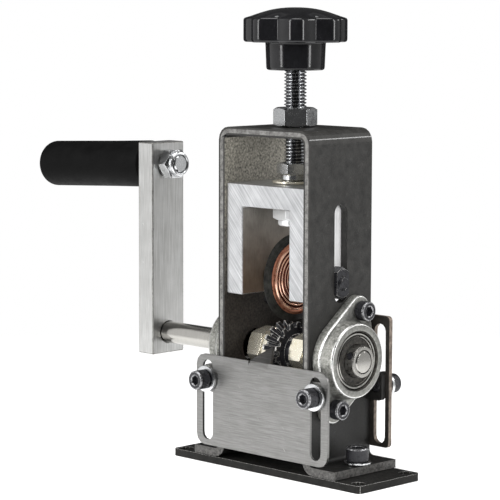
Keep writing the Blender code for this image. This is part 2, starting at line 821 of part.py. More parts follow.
def handle():
    """The handle's bolt and lock nut in the arm, and the grip that spins on the bolt."""
    tilt = Matrix.Rotation(-grip_droop, 4, "Y")
    centre = Vector((arm_centre_x, 0, handle_height))
    nut_seat = arm_thickness / 2 + seat_gap + m8_nut_flats / math.sqrt(3) * math.sin(grip_droop)
    inner_end = arm_thickness / 2 + seat_gap + grip_diameter / 2 * math.sin(grip_droop)
    bolt_length = (inner_end + grip_length - grip_recess_depth + nut_seat + m8_lock_nut_height
                   + handle_bolt_proud)
    bolt = socket_screw(m8_diameter, bolt_length, m8_cap_head_diameter, m8_cap_head_height,
                        m8_socket_flats, m8_socket_depth)
    head_seat = -(inner_end + grip_length - grip_recess_depth + seat_gap)
    outwards = (tilt @ Matrix.Rotation(-math.pi / 2, 4, "Y")).to_euler()
    inwards = (tilt @ Matrix.Rotation(math.pi / 2, 4, "Y")).to_euler()
    smooth_round(add_piece("handle_bolt", bolt, zinc, centre + tilt @ Vector((head_seat, 0, 0)), outwards,
                           crank_axis))
    nut = lock_nut(m8_nut_flats, m8_lock_nut_height, m8_diameter + 2 * seat_gap)
    add_piece("handle_nut", nut, zinc, centre + tilt @ Vector((nut_seat, 0, 0)), inwards, crank_axis)
    bore = m8_diameter / 2 + seat_gap
    recess = m8_cap_head_diameter / 2 + seat_gap
    radius = grip_diameter / 2
    recess_floor = grip_length - grip_recess_depth
    end_arc = arc((radius - grip_end_radius, grip_length - grip_end_radius), grip_end_radius, math.pi / 2, 0,
                  corner_steps)
    root_arc = arc((radius - grip_root_radius, grip_root_radius), grip_root_radius, 0, -math.pi / 2,
                   corner_steps)
    outline = [(bore, recess_floor), (recess, recess_floor), (recess, grip_length - edge_break)]
    outline += [point for point in end_arc if point[0] > recess]
    profile = outline + root_arc + [(bore, 0)]
    grip = turned(profile, medium_sides, closed=True)
    grip.transform(Matrix.Translation((0, 0, inner_end)))
    piece = add_piece("hand_grip", grip, black_grip)
    piece.parent = grip_axis
    piece.rotation_euler = (0, -math.pi / 2, 0)
    smooth_round(piece)


# Carriage, cutter and screw

def slot_nut_mesh():
    """The axle's nut, ground narrow on two sides to guide the carriage in the wall slot."""
    nut = moved(hex_nut(slot_nut_flats, slot_nut_height, m6_diameter + 2 * seat_gap), angle=math.pi / 2)
    length = slot_nut_flats / math.cos(math.pi / hex_sides) + 2 * overrun
    narrow = softened(block((length, slot_nut_width, slot_nut_height + 2 * overrun)), slot_nut_chamfer)
    return combined(nut, moved(narrow, (0, 0, slot_nut_height / 2)), "INTERSECT")


def carriage():
    """The forked block on its axle bolt, between its spacers and the thrust washer."""
    half = block_width / 2
    window = window_width / 2
    outline = [(-half, block_bottom), (-window, block_bottom), (-window, window_top), (window, window_top),
               (window, block_bottom), (half, block_bottom), (half, block_top), (-half, block_top)]
    fork = softened(along_y(flat_shape(outline, block_depth)), edge_break)
    fork = cut(fork, rod(m10_diameter + 2 * seat_gap, block_bar + 2 * overrun, small_sides,
                         window_top - overrun))
    axle_hole = along_x(rod(m8_diameter + 2 * seat_gap, block_width + 2 * overrun, small_sides,
                            -half - overrun), (0, 0, axle_height))
    fork = cut(fork, axle_hole)
    place = Vector((0, 0, axle_height))
    fork.transform(Matrix.Translation(-place))
    add_piece("carriage_block", fork, bright_aluminium, place, parent=carriage_slide)
    end_radius = m6_diameter / 2
    upper = [(0, axle_reach), (end_radius - screw_end_chamfer, axle_reach),
             (end_radius, axle_reach - screw_end_chamfer), (end_radius, half), (m8_diameter / 2, half)]
    lower = [(radius, -height) for radius, height in reversed(upper)]
    axle = turned(upper + lower, small_sides)
    smooth_round(add_piece("cutter_axle", axle, black_steel, (0, 0, axle_height), facing(1), carriage_slide))
    nut = slot_nut_mesh()
    spacer_length = window - cutter_bush_width / 2 - 2 * seat_gap
    spacer = ring(spacer_diameter, m8_diameter + 2 * seat_gap, spacer_length, medium_sides, edge_break)
    for side, word in ((-1, "left"), (1, "right")):
        add_piece(f"slot_nut_{word}", nut, black_steel, (side * (half + seat_gap), 0, axle_height),
                  facing(side), carriage_slide)
        start = side * (cutter_bush_width / 2 + seat_gap)
        smooth_round(add_piece(f"axle_spacer_{word}", spacer, bright_steel, (start, 0, axle_height),
                               facing(side), carriage_slide))
    thrust = ring(thrust_washer_diameter, m10_diameter + 2 * seat_gap, thrust_washer_thickness, medium_sides,
                  edge_break)
    smooth_round(add_piece("thrust_washer", thrust, yellow_zinc, (0, 0, thrust_washer_bottom),
                           parent=carriage_slide))


def cutter():
    """The bevelled disc, the stepped copper rings on its faces and the bush it turns on."""
    half = cutter_thickness / 2
    bore = cutter_bush_diameter / 2 + seat_gap
    shoulder = cutter_radius - cutter_bevel_width
    edge = cutter_edge_width / 2
    disc = turned([(bore, half), (shoulder, half), (cutter_radius, edge), (cutter_radius, -edge),
                   (shoulder, -half), (bore, -half)], large_sides, closed=True)
    smooth_round(add_piece("cutter_disc", disc, blade_steel, (0, 0, axle_height), facing(1), cutter_axis),
                 blade_smooth_angle)
    bush = ring(cutter_bush_diameter, m8_diameter + 2 * seat_gap, cutter_bush_width, medium_sides,
                edge_break, -cutter_bush_width / 2)
    smooth_round(add_piece("cutter_bush", bush, bright_steel, (0, 0, axle_height), facing(1), cutter_axis))
    profile = [(bore, copper_step_height * len(copper_step_shares))]
    for number, share in enumerate(reversed(copper_step_shares)):
        level = copper_step_height * (len(copper_step_shares) - number)
        profile += [(copper_radius * share, level), (copper_radius * share, level - copper_step_height)]
    profile += [(bore, 0)]
    copper = turned(profile, medium_sides, closed=True)
    for side, word in ((-1, "left"), (1, "right")):
        smooth_round(add_piece(f"copper_ring_{word}", copper, copper_finish,
                               (side * (half + seat_gap), 0, axle_height), facing(side), cutter_axis))


def knob_point(share, number):
    """A point on the knob's outline: round lobes with hollows between them."""
    angle = number * 2 * math.pi / (knob_lobes * knob_points_per_lobe)
    wave = (1 + math.cos(knob_lobes * (angle - knob_turn))) / 2
    return share * (knob_radius - knob_valley_depth * (1 - wave ** knob_lobe_sharpness)), angle


def knob_mesh():
    """The seven-lobed knob on its hub, hub foot on Z = 0, with a blind hole for the screw."""
    heights = [knob_side_height * share for share, _ in knob_dome_shares]
    widths = [share for _, share in knob_dome_shares]
    heights += [knob_side_height + knob_dome_rise * share for share, _ in knob_crown_shares]
    widths += [share for _, share in knob_crown_shares]

    head = stacked_rings(knob_lobes * knob_points_per_lobe, heights,
                         lambda level, number: knob_point(widths[level], number))
    head = moved(head, (0, 0, hub_height))
    foot_middle = (hub_bottom_diameter / 2 - hub_foot_radius, hub_foot_radius)
    foot = arc(foot_middle, hub_foot_radius, 0, -math.pi / 2, corner_steps)
    hub = turned([(0, hub_height + overrun), (hub_top_diameter / 2, hub_height + overrun), *foot, (0, 0)],
                 large_sides)
    knob = joined(head, hub)
    return cut(knob, rod(m10_diameter + 2 * seat_gap, knob_screw_depth + overrun, small_sides, -overrun))


def screw_assembly():
    """The adjusting screw, its nuts and the knob, all turning together."""
    top = knob_bottom + knob_screw_depth - seat_gap
    nut_bottom = window_top - seat_gap - retaining_nut_height
    bottom = nut_bottom + screw_end_inset
    radius = m10_diameter / 2
    length = top - bottom
    screw = turned([(0, length), (radius - screw_end_chamfer, length), (radius, length - screw_end_chamfer),
                    (radius, screw_end_chamfer), (radius - screw_end_chamfer, 0), (0, 0)], medium_sides)
    smooth_round(add_piece("adjusting_screw", screw, zinc, (0, 0, bottom), parent=screw_axis))
    smooth_round(add_piece("star_knob", knob_mesh(), gloss_black, (0, 0, knob_bottom), parent=screw_axis),
                 crown_smooth_angle)
    bore = m10_diameter + 2 * seat_gap
    collar = ring(screw_nut_collar_diameter, bore, screw_nut_collar_height + nut_chamfer, medium_sides)
    nut = moved(hex_nut(small_m10_nut_flats, screw_nut_height, bore), (0, 0, screw_nut_collar_height))
    add_piece("screw_nut", joined(nut, collar), zinc, (0, 0, screw_nut_bottom), (0, 0, screw_nut_turn),
              screw_axis)
    retaining = moved(lock_nut(m10_nut_flats, retaining_nut_height, bore), turn_axis="X", angle=math.pi)
    add_piece("retaining_nut", retaining, zinc, (0, 0, window_top - seat_gap), (0, 0, screw_nut_turn),
              screw_axis)
    fixed = hex_nut(m10_nut_flats, m10_nut_height, bore)
    add_piece("top_nut", fixed, zinc, (0, 0, top_nut_bottom), (0, 0, top_nut_turn))


# Slotted plates and their bolts

def slotted_plate(bottom, height, thickness, side_margin, corner_radius, bottom_margin, top_margin):
    """A plate with a slot near each side, upright on its real height, its middle on Y = 0."""
    middle = bottom + height / 2
    width = 2 * (plate_bolt_x + side_margin)
    plate = flat_shape(rounded_rectangle(width, height, corner_radius, (0, middle)), thickness)
    slot_height = height - bottom_margin - top_margin
    slot_middle = bottom + bottom_margin + slot_height / 2
    for side in (-1, 1):
        slot = flat_shape(slot_outline(plate_slot_width, slot_height, (side * plate_bolt_x, slot_middle)),
                          thickness + 2 * overrun)
        plate = cut(plate, slot)
    return along_y(plate)


def add_finger(plate, middle_y):
    """The pointed tooth, bent inwards below the plate's top edge towards the feed wheel."""
    bend = front_plate_top - finger_bend_drop
    half = finger_width / 2
    notch_depth = finger_bend_drop + finger_bend_radius / 2
    notch = block((finger_width - 2 * finger_side_overlap, front_plate_thickness + 2 * overrun,
                   notch_depth + overrun),
                  (finger_middle, middle_y, front_plate_top + (overrun - notch_depth) / 2))
    plate = cut(plate, notch)
    path = [(middle_y, bend - finger_root), (middle_y, bend),
            (middle_y + finger_reach, bend + finger_rise)]
    tongue = flat_shape(strip_outline(path, finger_thickness, finger_bend_radius), finger_width)
    tongue.transform(Matrix(((0, 0, 1, finger_middle), (1, 0, 0, 0), (0, 1, 0, 0), (0, 0, 0, 1))))
    tip = finger_tip_width / 2
    low = bend - finger_root - overrun
    high = bend + finger_rise + finger_thickness / 2
    front = [(-half, low), (half, low), (half, front_plate_top), (tip, high), (-tip, high),
             (-half, front_plate_top)]
    prism = along_y(flat_shape(front, 2 * (finger_reach + front_plate_thickness + overrun)),
                    (finger_middle, middle_y, 0))
    return joined(plate, combined(tongue, prism, "INTERSECT"))


def plates():
    """The front plate with its tooth, and the rear plate with its cable holes."""
    front_y = -(half_depth + seat_gap + front_plate_thickness / 2)
    front = slotted_plate(front_plate_bottom, front_plate_height, front_plate_thickness, front_side_margin,
                          front_corner_radius, front_slot_margin, front_slot_margin)
    front.transform(Matrix.Translation((0, front_y, 0)))
    front = add_finger(front, front_y)
    place = Vector((0, front_y, plate_bolt_height))
    front.transform(Matrix.Translation(-place))
    add_piece("front_plate", front, brushed_plate, place)
    rear_y = half_depth + seat_gap + rear_plate_thickness / 2
    rear = slotted_plate(rear_plate_bottom, rear_plate_height, rear_plate_thickness, rear_side_margin,
                         rear_corner_radius, rear_slot_bottom_margin, rear_slot_top_margin)
    hole_height = shaft_height + wheel_radius
    for diameter in cable_hole_diameters:
        hole = rod(diameter, rear_plate_thickness + 2 * overrun, small_sides,
                   -rear_plate_thickness / 2 - overrun)
        hole_height -= diameter * cable_hole_spacing_share / 2
        rear = cut(rear, along_y(hole, (0, 0, hole_height)))
        hole_height -= diameter * cable_hole_spacing_share / 2
    rear.transform(Matrix.Translation((0, 0, -plate_bolt_height)))
    add_piece("rear_plate", rear, dark_plate, (0, rear_y, plate_bolt_height))


def plate_fasteners():
    """Socket screws and washers that clamp the plates to the ears."""
    flat = washer(flat_washer_diameter, m5_diameter + 2 * seat_gap, flat_washer_thickness)
    for side_y, end, thickness in ((-1, "front", front_plate_thickness), (1, "rear", rear_plate_thickness)):
        stack = 3 * seat_gap + thickness + flat_washer_thickness
        bolt = socket_screw(m5_diameter, stack + ear_thickness + ear_inset, m5_head_diameter,
                            plate_bolt_head_height, m5_socket_flats, m5_socket_depth)
        turn = (side_y * -math.pi / 2, 0, 0)
        washer_y = side_y * (half_depth + 2 * seat_gap + thickness)
        head_y = side_y * (half_depth + stack)
        for side_x, word in ((-1, "left"), (1, "right")):
            x = side_x * plate_bolt_x
            add_piece(f"{end}_washer_{word}", flat, zinc, (x, washer_y, plate_bolt_height), turn)
            smooth_round(add_piece(f"{end}_bolt_{word}", bolt, black_steel, (x, head_y, plate_bolt_height),
                                   turn))


# The whole machine

clear_scene()
parts = new_collection("cable_stripping_machine")
cutters = new_collection("cutters")

black_paint = finish("black paint", (0.045, 0.044, 0.042), 0.45, 0.0)
black_steel = finish("black oxide steel", (0.03, 0.03, 0.032), 0.4, 0.7)
zinc = finish("bright zinc", (0.62, 0.63, 0.64), 0.25, 1.0)
yellow_zinc = finish("yellow zinc", (0.72, 0.62, 0.42), 0.28, 1.0)
cast_zinc = finish("cast zinc", (0.38, 0.38, 0.36), 0.55, 0.8)
seal_grey = finish("bearing seal", (0.06, 0.06, 0.06), 0.6, 0.0)
bright_steel = finish("polished steel", (0.55, 0.53, 0.5), 0.22, 1.0)
aluminium = finish("drawn aluminium", (0.6, 0.6, 0.58), 0.35, 1.0)
bright_aluminium = finish("milled aluminium", (0.78, 0.78, 0.79), 0.3, 1.0)
blade_steel = finish("ground blade", (0.12, 0.12, 0.11), 0.3, 1.0)
copper_finish = finish("copper", (0.72, 0.36, 0.22), 0.25, 1.0)
gloss_black = finish("gloss black plastic", (0.012, 0.012, 0.013), 0.12, 0.0)
black_grip = finish("matt black grip", (0.008, 0.008, 0.008), 0.55, 0.0)
brushed_plate = finish("brushed plate", (0.42, 0.42, 0.41), 0.35, 1.0)
dark_plate = finish("dark plate", (0.06, 0.055, 0.05), 0.45, 0.5)

crank_axis = joint_empty("crank_axis", (0, 0, shaft_height))
grip_axis = joint_empty("grip_axis", (arm_centre_x, 0, handle_height), (0, -grip_droop, 0))
carriage_slide = joint_empty("carriage_slide", (0, 0, axle_height))
cutter_axis = joint_empty("cutter_axis", (0, 0, axle_height))
screw_axis = joint_empty("screw_axis", (0, 0, frame_top))

base_plate()
frame_strip()
foot_fasteners()
bearings()
drive_train()
crank_arm()
handle()
carriage()
cutter()
screw_assembly()
plates()
plate_fasteners()
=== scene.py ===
"""Finishes and fine shapes of a hand cranked cable stripping machine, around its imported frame.

X runs along the crank shaft with the crank on the -X side, -Y is the open front with the small
slotted plate, and the origin lies under the middle of the base. All lengths are metres.
"""
import json
import math

import bmesh
import bpy
from bpy.props import (CollectionProperty, FloatProperty, FloatVectorProperty, IntProperty,
                       PointerProperty, StringProperty)
from mathutils import Matrix, Vector

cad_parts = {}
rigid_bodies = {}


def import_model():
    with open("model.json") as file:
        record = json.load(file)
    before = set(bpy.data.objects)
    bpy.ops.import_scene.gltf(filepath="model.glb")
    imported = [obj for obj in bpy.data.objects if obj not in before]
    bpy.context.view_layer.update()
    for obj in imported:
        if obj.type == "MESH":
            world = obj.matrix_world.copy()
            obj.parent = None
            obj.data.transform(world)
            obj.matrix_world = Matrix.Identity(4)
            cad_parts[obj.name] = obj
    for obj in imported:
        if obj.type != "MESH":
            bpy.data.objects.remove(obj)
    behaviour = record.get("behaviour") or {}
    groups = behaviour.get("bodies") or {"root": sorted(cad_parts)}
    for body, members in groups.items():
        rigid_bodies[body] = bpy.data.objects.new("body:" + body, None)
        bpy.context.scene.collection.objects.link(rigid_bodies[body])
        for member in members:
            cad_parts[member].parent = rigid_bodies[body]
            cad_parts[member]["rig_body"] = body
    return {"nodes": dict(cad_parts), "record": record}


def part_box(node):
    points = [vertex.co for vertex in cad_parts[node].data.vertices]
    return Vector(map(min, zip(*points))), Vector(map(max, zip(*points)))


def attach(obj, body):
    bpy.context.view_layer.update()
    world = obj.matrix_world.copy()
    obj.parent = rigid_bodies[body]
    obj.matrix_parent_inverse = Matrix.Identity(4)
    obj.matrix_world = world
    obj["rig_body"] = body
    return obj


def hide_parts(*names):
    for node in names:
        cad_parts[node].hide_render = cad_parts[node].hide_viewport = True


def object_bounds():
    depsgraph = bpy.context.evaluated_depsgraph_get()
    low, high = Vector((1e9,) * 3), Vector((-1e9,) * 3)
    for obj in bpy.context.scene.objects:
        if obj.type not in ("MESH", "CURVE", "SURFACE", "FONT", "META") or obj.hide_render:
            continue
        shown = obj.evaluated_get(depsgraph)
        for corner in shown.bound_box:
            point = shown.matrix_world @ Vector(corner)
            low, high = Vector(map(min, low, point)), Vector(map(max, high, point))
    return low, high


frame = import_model()

bl_info = {
    "name": "Cable Stripping Machine Finish",
    "version": (1, 0, 0),
    "blender": (4, 5, 0),
    "location": "3D View > Sidebar > Stripper",
    "description": "Models the fine shapes and finishes of a hand cranked cable stripping machine",
    "category": "Object",
}

cad_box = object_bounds()
slot_of = {part["node"]: part["material_slot"] for part in frame["record"]["subparts"]}
sides = ((-1, "left"), (1, "right"))
merge_distance = 0.000002
sharp_angle = math.radians(30)
full_turn = 2 * math.pi
flat_normal = 0.9
strip_half_width = 0.02
foot_top = 0.0125
nut_circle_share = 0.96
nut_chamfer_slope = math.tan(math.radians(30))
nut_smooth = math.radians(20)
large_nut_flats = 0.017
large_nut_bore = 0.0102
arm_half = 0.005
seat_gap = 0.0003
grip_radius = 0.011
handle_droop = math.radians(2.85)
finishes = {}

# Each finish: base and second colour, metallic, roughness range, size of its patches, size of its
# grain along X, Y and Z, turn of the grain about Y, strength of its bump, and share of rubbed marks
finish_rows = {
    "frame_paint": ((0.010, 0.0097, 0.009), (0.024, 0.0232, 0.0215), 0.0, (0.36, 0.56), 0.004,
                    (0.0005, 0.0005, 0.0006), 0.0, 0.22, 0.10),
    # Lighter, glossier paint for the frame's bends: a painted highlight along the bends
    "bend_paint": ((0.020, 0.0195, 0.018), (0.036, 0.035, 0.033), 0.0, (0.10, 0.17), 0.004,
                   (0.0006, 0.0006, 0.0006), 0.0, 0.04, 0.0),
    "base_paint": ((0.006, 0.006, 0.0055), (0.016, 0.0155, 0.0145), 0.0, (0.40, 0.60), 0.004,
                   (0.0005, 0.0005, 0.0006), 0.0, 0.30, 0.06),
    # Lighter, partly metallic paint on the frame's inner walls: a thinner paint there, and a painted sheen
    # of the light they reflect
    "inner_wall": ((0.085, 0.08, 0.067), (0.50, 0.475, 0.405), 0.30, (0.42, 0.62), 0.0010,
                   (0.0006, 0.0006, 0.0009), 0.0, 0.40, 0.0),
    "cut_edge": ((0.08, 0.078, 0.074), (0.26, 0.255, 0.245), 0.6, (0.42, 0.60), 0.0016,
                 (0.0005, 0.0005, 0.0005), 0.0, 0.45, 0.0),
    "foot_edge": ((0.012, 0.0115, 0.011), (0.12, 0.116, 0.11), 0.4, (0.42, 0.62), 0.0011,
                  (0.0005, 0.0004, 0.0004), 0.0, 0.45, 0.0),
    "black_steel": ((0.012, 0.012, 0.0135), (0.028, 0.028, 0.032), 0.35, (0.24, 0.42), 0.002,
                    (0.0003, 0.0003, 0.0003), 0.0, 0.12, 0.06),
    # Lighter worn black steel for screw heads' rims and socket mouths: real wear, and a painted highlight
    # ring on the rim
    "worn_black": ((0.06, 0.06, 0.063), (0.40, 0.40, 0.41), 0.8, (0.22, 0.38), 0.0009,
                   (0.0003, 0.0003, 0.0003), 0.0, 0.10, 0.0),
    # Bright worn steel for edges and crests: real wear, and painted highlights on the feed wheel's teeth,
    # the base plate's edge and the slot nuts' edges
    "worn_tooth": ((0.22, 0.215, 0.20), (0.80, 0.79, 0.76), 0.8, (0.20, 0.36), 0.0008,
                   (0.0003, 0.0003, 0.0003), 0.0, 0.10, 0.0),
    "zinc": ((0.60, 0.61, 0.62), (0.70, 0.71, 0.72), 1.0, (0.16, 0.28), 0.003,
             (0.0005, 0.0005, 0.0005), 0.0, 0.05, 0.03),
    "bright_zinc": ((0.80, 0.81, 0.82), (0.90, 0.91, 0.92), 0.55, (0.12, 0.22), 0.003,
                    (0.0005, 0.0005, 0.0005), 0.0, 0.05, 0.0),
    "yellow_zinc": ((0.80, 0.74, 0.58), (0.88, 0.84, 0.72), 0.85, (0.14, 0.22), 0.009,
                    (0.0012, 0.0012, 0.0012), 0.0, 0.02, 0.0),
    "cast_housing": ((0.12, 0.12, 0.108), (0.40, 0.40, 0.37), 0.7, (0.36, 0.54), 0.0012,
                     (0.0008, 0.0008, 0.0008), 0.0, 0.90, 0.0),
    "cast_face": ((0.16, 0.16, 0.15), (0.30, 0.30, 0.28), 0.8, (0.30, 0.44), 0.0016,
                  (0.0005, 0.0005, 0.0005), 0.0, 0.40, 0.0),
    # Bright metal for the housing's rim chamfers: painted highlight lines
    "cast_rim": ((0.66, 0.66, 0.64), (0.84, 0.84, 0.82), 0.9, (0.24, 0.36), 0.002,
                 (0.0004, 0.0004, 0.0004), 0.0, 0.25, 0.0),
    "bearing_seal": ((0.004, 0.0038, 0.0034), (0.045, 0.042, 0.036), 0.1, (0.40, 0.58), 0.0014,
                     (0.0006, 0.0006, 0.0006), 0.0, 0.60, 0.0),
    "sleeve_steel": ((0.12, 0.116, 0.106), (0.38, 0.37, 0.35), 0.9, (0.26, 0.42), 0.0016,
                     (0.0004, 0.0006, 0.0006), 0.0, 0.30, 0.0),
    "bright_steel": ((0.40, 0.39, 0.365), (0.46, 0.45, 0.425), 1.0, (0.16, 0.26), 0.012,
                     (0.0002, 0.006, 0.006), 0.0, 0.04, 0.0),
    "arm_aluminium": ((0.46, 0.46, 0.447), (0.64, 0.64, 0.63), 1.0, (0.30, 0.42), 0.008,
                      (0.0004, 0.0004, 0.012), 0.0, 0.10, 0.02),
    "block_aluminium": ((0.40, 0.405, 0.415), (0.66, 0.665, 0.675), 0.9, (0.30, 0.44), 0.007,
                        (0.0006, 0.0006, 0.03), -0.72, 0.30, 0.0),
    # Lighter, less metallic aluminium for the block's sides: painted light
    "block_side": ((0.62, 0.62, 0.62), (0.80, 0.80, 0.80), 0.25, (0.30, 0.44), 0.005,
                   (0.0010, 0.0004, 0.02), 0.0, 0.20, 0.03),
    # Darker aluminium for the faces inside the block's window: painted shade
    "window_wall": ((0.18, 0.171, 0.154), (0.27, 0.259, 0.236), 0.5, (0.45, 0.60), 0.006,
                    (0.0008, 0.0008, 0.004), 0.0, 0.12, 0.0),
    "blade": ((0.016, 0.016, 0.015), (0.055, 0.055, 0.05), 0.7, (0.32, 0.46), 0.002,
              (0.0003, 0.0003, 0.0003), 0.0, 0.10, 0.0),
    "copper": ((0.90, 0.46, 0.31), (1.0, 0.68, 0.52), 0.85, (0.14, 0.26), 0.003,
               (0.0003, 0.0003, 0.0003), 0.0, 0.10, 0.0),
    "copper_band": ((0.26, 0.095, 0.055), (0.62, 0.27, 0.17), 0.85, (0.26, 0.42), 0.0022,
                    (0.0003, 0.0003, 0.0003), 0.0, 0.12, 0.0),
    "copper_groove": ((0.030, 0.004, 0.002), (0.10, 0.014, 0.006), 0.6, (0.30, 0.46), 0.002,
                      (0.0003, 0.0003, 0.0003), 0.0, 0.10, 0.0),
    "knob_plastic": ((0.004, 0.004, 0.0045), (0.007, 0.007, 0.008), 0.0, (0.07, 0.14), 0.006,
                     (0.0014, 0.0014, 0.0014), 0.0, 0.03, 0.0),
    "grip_rubber": ((0.0016, 0.0016, 0.0016), (0.0036, 0.0036, 0.0036), 0.0, (0.46, 0.62), 0.006,
                    (0.0006, 0.0006, 0.0006), 0.0, 0.10, 0.0),
    "plate_steel": ((0.19, 0.188, 0.182), (0.27, 0.268, 0.262), 1.0, (0.34, 0.48), 0.009,
                    (0.010, 0.0006, 0.0005), 0.0, 0.30, 0.02),
    "dark_plate": ((0.012, 0.011, 0.010), (0.034, 0.030, 0.026), 0.2, (0.38, 0.55), 0.005,
                   (0.0005, 0.0005, 0.0006), 0.0, 0.16, 0.10),
    "brown_edge": ((0.06, 0.048, 0.038), (0.26, 0.215, 0.18), 0.6, (0.36, 0.52), 0.0022,
                   (0.0004, 0.0004, 0.0004), 0.0, 0.18, 0.0),
}

# Finishes whose grain runs round an axis along X: the finish they start from, and a CAD node on the axis
turned_rows = {
    "turned_steel": ("bright_steel", "drive_shaft"),
    "turned_copper": ("copper", "cutter_axle"),
    "turned_copper_band": ("copper_band", "cutter_axle"),
    "ground_blade": ("blade", "cutter_axle"),
}

# Painted shade: finishes that pass into a darker tint downwards, low on the frame's walls and in the block's
# window: where the change ends and starts, and the tint
painted_shade_rows = {
    "inner_wall": (0.078, 0.150, (0.11, 0.10, 0.10, 1)),
    "window_wall": (0.085, 0.120, (0.55, 0.44, 0.35, 1)),
    "frame_paint": (0.045, 0.085, (0.45, 0.45, 0.45, 1)),
}

# Sockets of the shader that keep one value all over a finish
socket_rows = (
    ("grip_rubber", "Specular IOR Level", 0.3), ("knob_plastic", "Specular IOR Level", 0.42),
    ("frame_paint", "Specular IOR Level", 0.36), ("base_paint", "Specular IOR Level", 0.20),
    ("bearing_seal", "Specular IOR Level", 0.20), ("grip_rubber", "IOR", 1.2), ("base_paint", "IOR", 1.3),
)


def length_setting(name, description, default, least=0):
    """A length among the settings, in metres, and the least that it may be."""
    return FloatProperty(name=name, description=description, default=default, unit="LENGTH", min=least)


def angle_setting(name, description, degrees):
    """An angle among the settings, given in degrees."""
    return FloatProperty(name=name, description=description, default=math.radians(degrees),
                         subtype="ANGLE")


def strength_setting(name, description, default):
    """The power of a lamp or the brightness of a card."""
    return FloatProperty(name=name, description=description, default=default, min=0)


def reach_setting(name, description, default, **limits):
    """Two distances or heights, the lower one first, in metres."""
    return FloatVectorProperty(name=name, description=description, size=2, default=default, **limits)


class StageSettings(bpy.types.PropertyGroup):
    """Floor, lights, cards and camera."""

    floor_colour: FloatVectorProperty(name="Floor colour", description="Colour of the floor", size=3,
                                      default=(0.93, 0.93, 0.93), subtype="COLOR", min=0, max=1)
    floor_size: length_setting("Floor size", "Side of the square floor", 1.6, 1.0)
    floor_fade: reach_setting("Floor fade", "Distances between which the floor passes into the "
                              "background", (0.16, 0.42), min=0)
    floor_glow: strength_setting("Floor glow", "Light that the floor adds of its own", 0.12)
    camera_place: FloatVectorProperty(name="Camera place", description="Where the camera stands", size=3,
                                      default=(0.6768, -0.7107, 0.2101), subtype="TRANSLATION")
    camera_heading: angle_setting("Heading", "Turn of the camera about the vertical", 44.76)
    camera_pitch: angle_setting("Pitch", "How far the camera looks down", 6.483)
    camera_roll: angle_setting("Roll", "Turn of the camera about its line of sight", 0.16)
    camera_lens: FloatProperty(name="Lens", description="Focal length on a 36 mm sensor, in millimetres",
                               default=159.55, min=10)
    fill_strength: strength_setting("Fill", "Strength of the light from all around", 0.6)
    key_power: strength_setting("Key light", "Power of the large lamp on the left", 26)
    rim_power: strength_setting("Right light", "Power of the large lamp on the right", 10)
    front_power: strength_setting("Front light", "Power of the lamp beside the camera", 13)
    top_power: strength_setting("Top light", "Power of the lamp overhead", 12)
    card_distance: length_setting("Card distance", "From the machine to the cards that only its shiny "
                                  "faces reflect", 1.3, 1.1)
    card_reach: reach_setting("Card reach", "Lowest and highest point of the cards", (-0.5, 1.3))
    bend_reach: reach_setting("Bend strip reach", "Lowest and highest point of the bright strip that the "
                              "frame's bends reflect", (0.55, 0.80))
    bend_angle: angle_setting("Bend strip place", "Angle of that strip from the camera", 104)
    bend_half_angle: angle_setting("Bend strip width", "Half angle of that strip", 10)
    bend_strength: strength_setting("Bend strip strength", "Brightness of that strip", 9.0)
    dark_half_angle: angle_setting("Dark card", "Half angle of the dark card round the camera", 49)
    back_half_angle: angle_setting("Back card", "Half angle of the dark card behind the machine", 62)
    dark_strength: strength_setting("Dark strength", "Brightness of the dark cards", 0.06)
    strip_angle: angle_setting("Bright strips", "Angle of the bright strips from the camera", 57)
    strip_width: angle_setting("Strip width", "Angle that a bright strip covers", 7)
    strip_strength: strength_setting("Strip strength", "Brightness of the bright strips", 10.0)
    grey_angle: angle_setting("Grey card", "Angle that the grey card on the right covers", 75)
    grey_strength: strength_setting("Grey strength", "Brightness of the card on the right", 0.6)
    ceiling_height: length_setting("Ceiling height", "Height of the cards overhead", 1.3, 1.0)
    ceiling_strength: strength_setting("Ceiling strength", "Brightness of the dark ceiling", 0.2)
    overhead_radius: length_setting("Overhead radius", "Radius of the bright round card in it", 0.45, 0.01)
    overhead_strength: strength_setting("Overhead strength", "Brightness of that round card", 4.5)


class ShapeSettings(bpy.types.PropertyGroup):
    """Edges, threads and fasteners."""

    # The base plate's rounded edge takes a bright finish: a rubbed edge and a painted highlight line
    plate_round: length_setting("Base rounding", "Width of the rubbed edge of the base plate", 0.0008)
    edge_round: length_setting("Edge rounding", "Radius on the edges of cut pieces", 0.0003)
    fine_round: length_setting("Fine rounding", "Radius on the edges of small pieces", 0.00015)
    # The teeth's rounded edges take a bright finish: worn edges and painted highlights
    tooth_round: length_setting("Tooth wear", "Width of the worn edge on the wheel's teeth", 0.00016)
    bend_round: length_setting("Bend rounding", "Width of the rounding on a bend's facets", 0.001)
    bend_steps: IntProperty(name="Bend steps", description="Facets added on each edge of a bend",
                            default=4, min=1, max=8)
    turned_steps: IntProperty(name="Turned steps", description="Steps round a turned piece",
                              default=96, min=24, max=192)
    thread_pitch: length_setting("Screw pitch", "Pitch of the adjusting screw", 0.0015, 0.0002)
    small_pitch: length_setting("Axle pitch", "Pitch on the ends of the cutter's axle", 0.001, 0.0002)
    thread_depth_share: FloatProperty(name="Thread depth", description="Depth of a thread by its pitch",
                                      default=0.6134, min=0.1, max=0.9)
    knurl_count: IntProperty(name="Knurls", description="Grooves round a socket screw's head",
                             default=36, min=6, max=72)
    knurl_depth: length_setting("Knurl depth", "Depth of those grooves", 0.00012)
    wheel_nut_turn: angle_setting("Wheel nuts", "Turn of the nuts beside the wheel", 13)
    top_nut_turn: angle_setting("Top nut", "Turn of the nut on the frame's top", 15)
    screw_nut_turn: angle_setting("Screw nuts", "Turn of the nuts on the screw", 19)


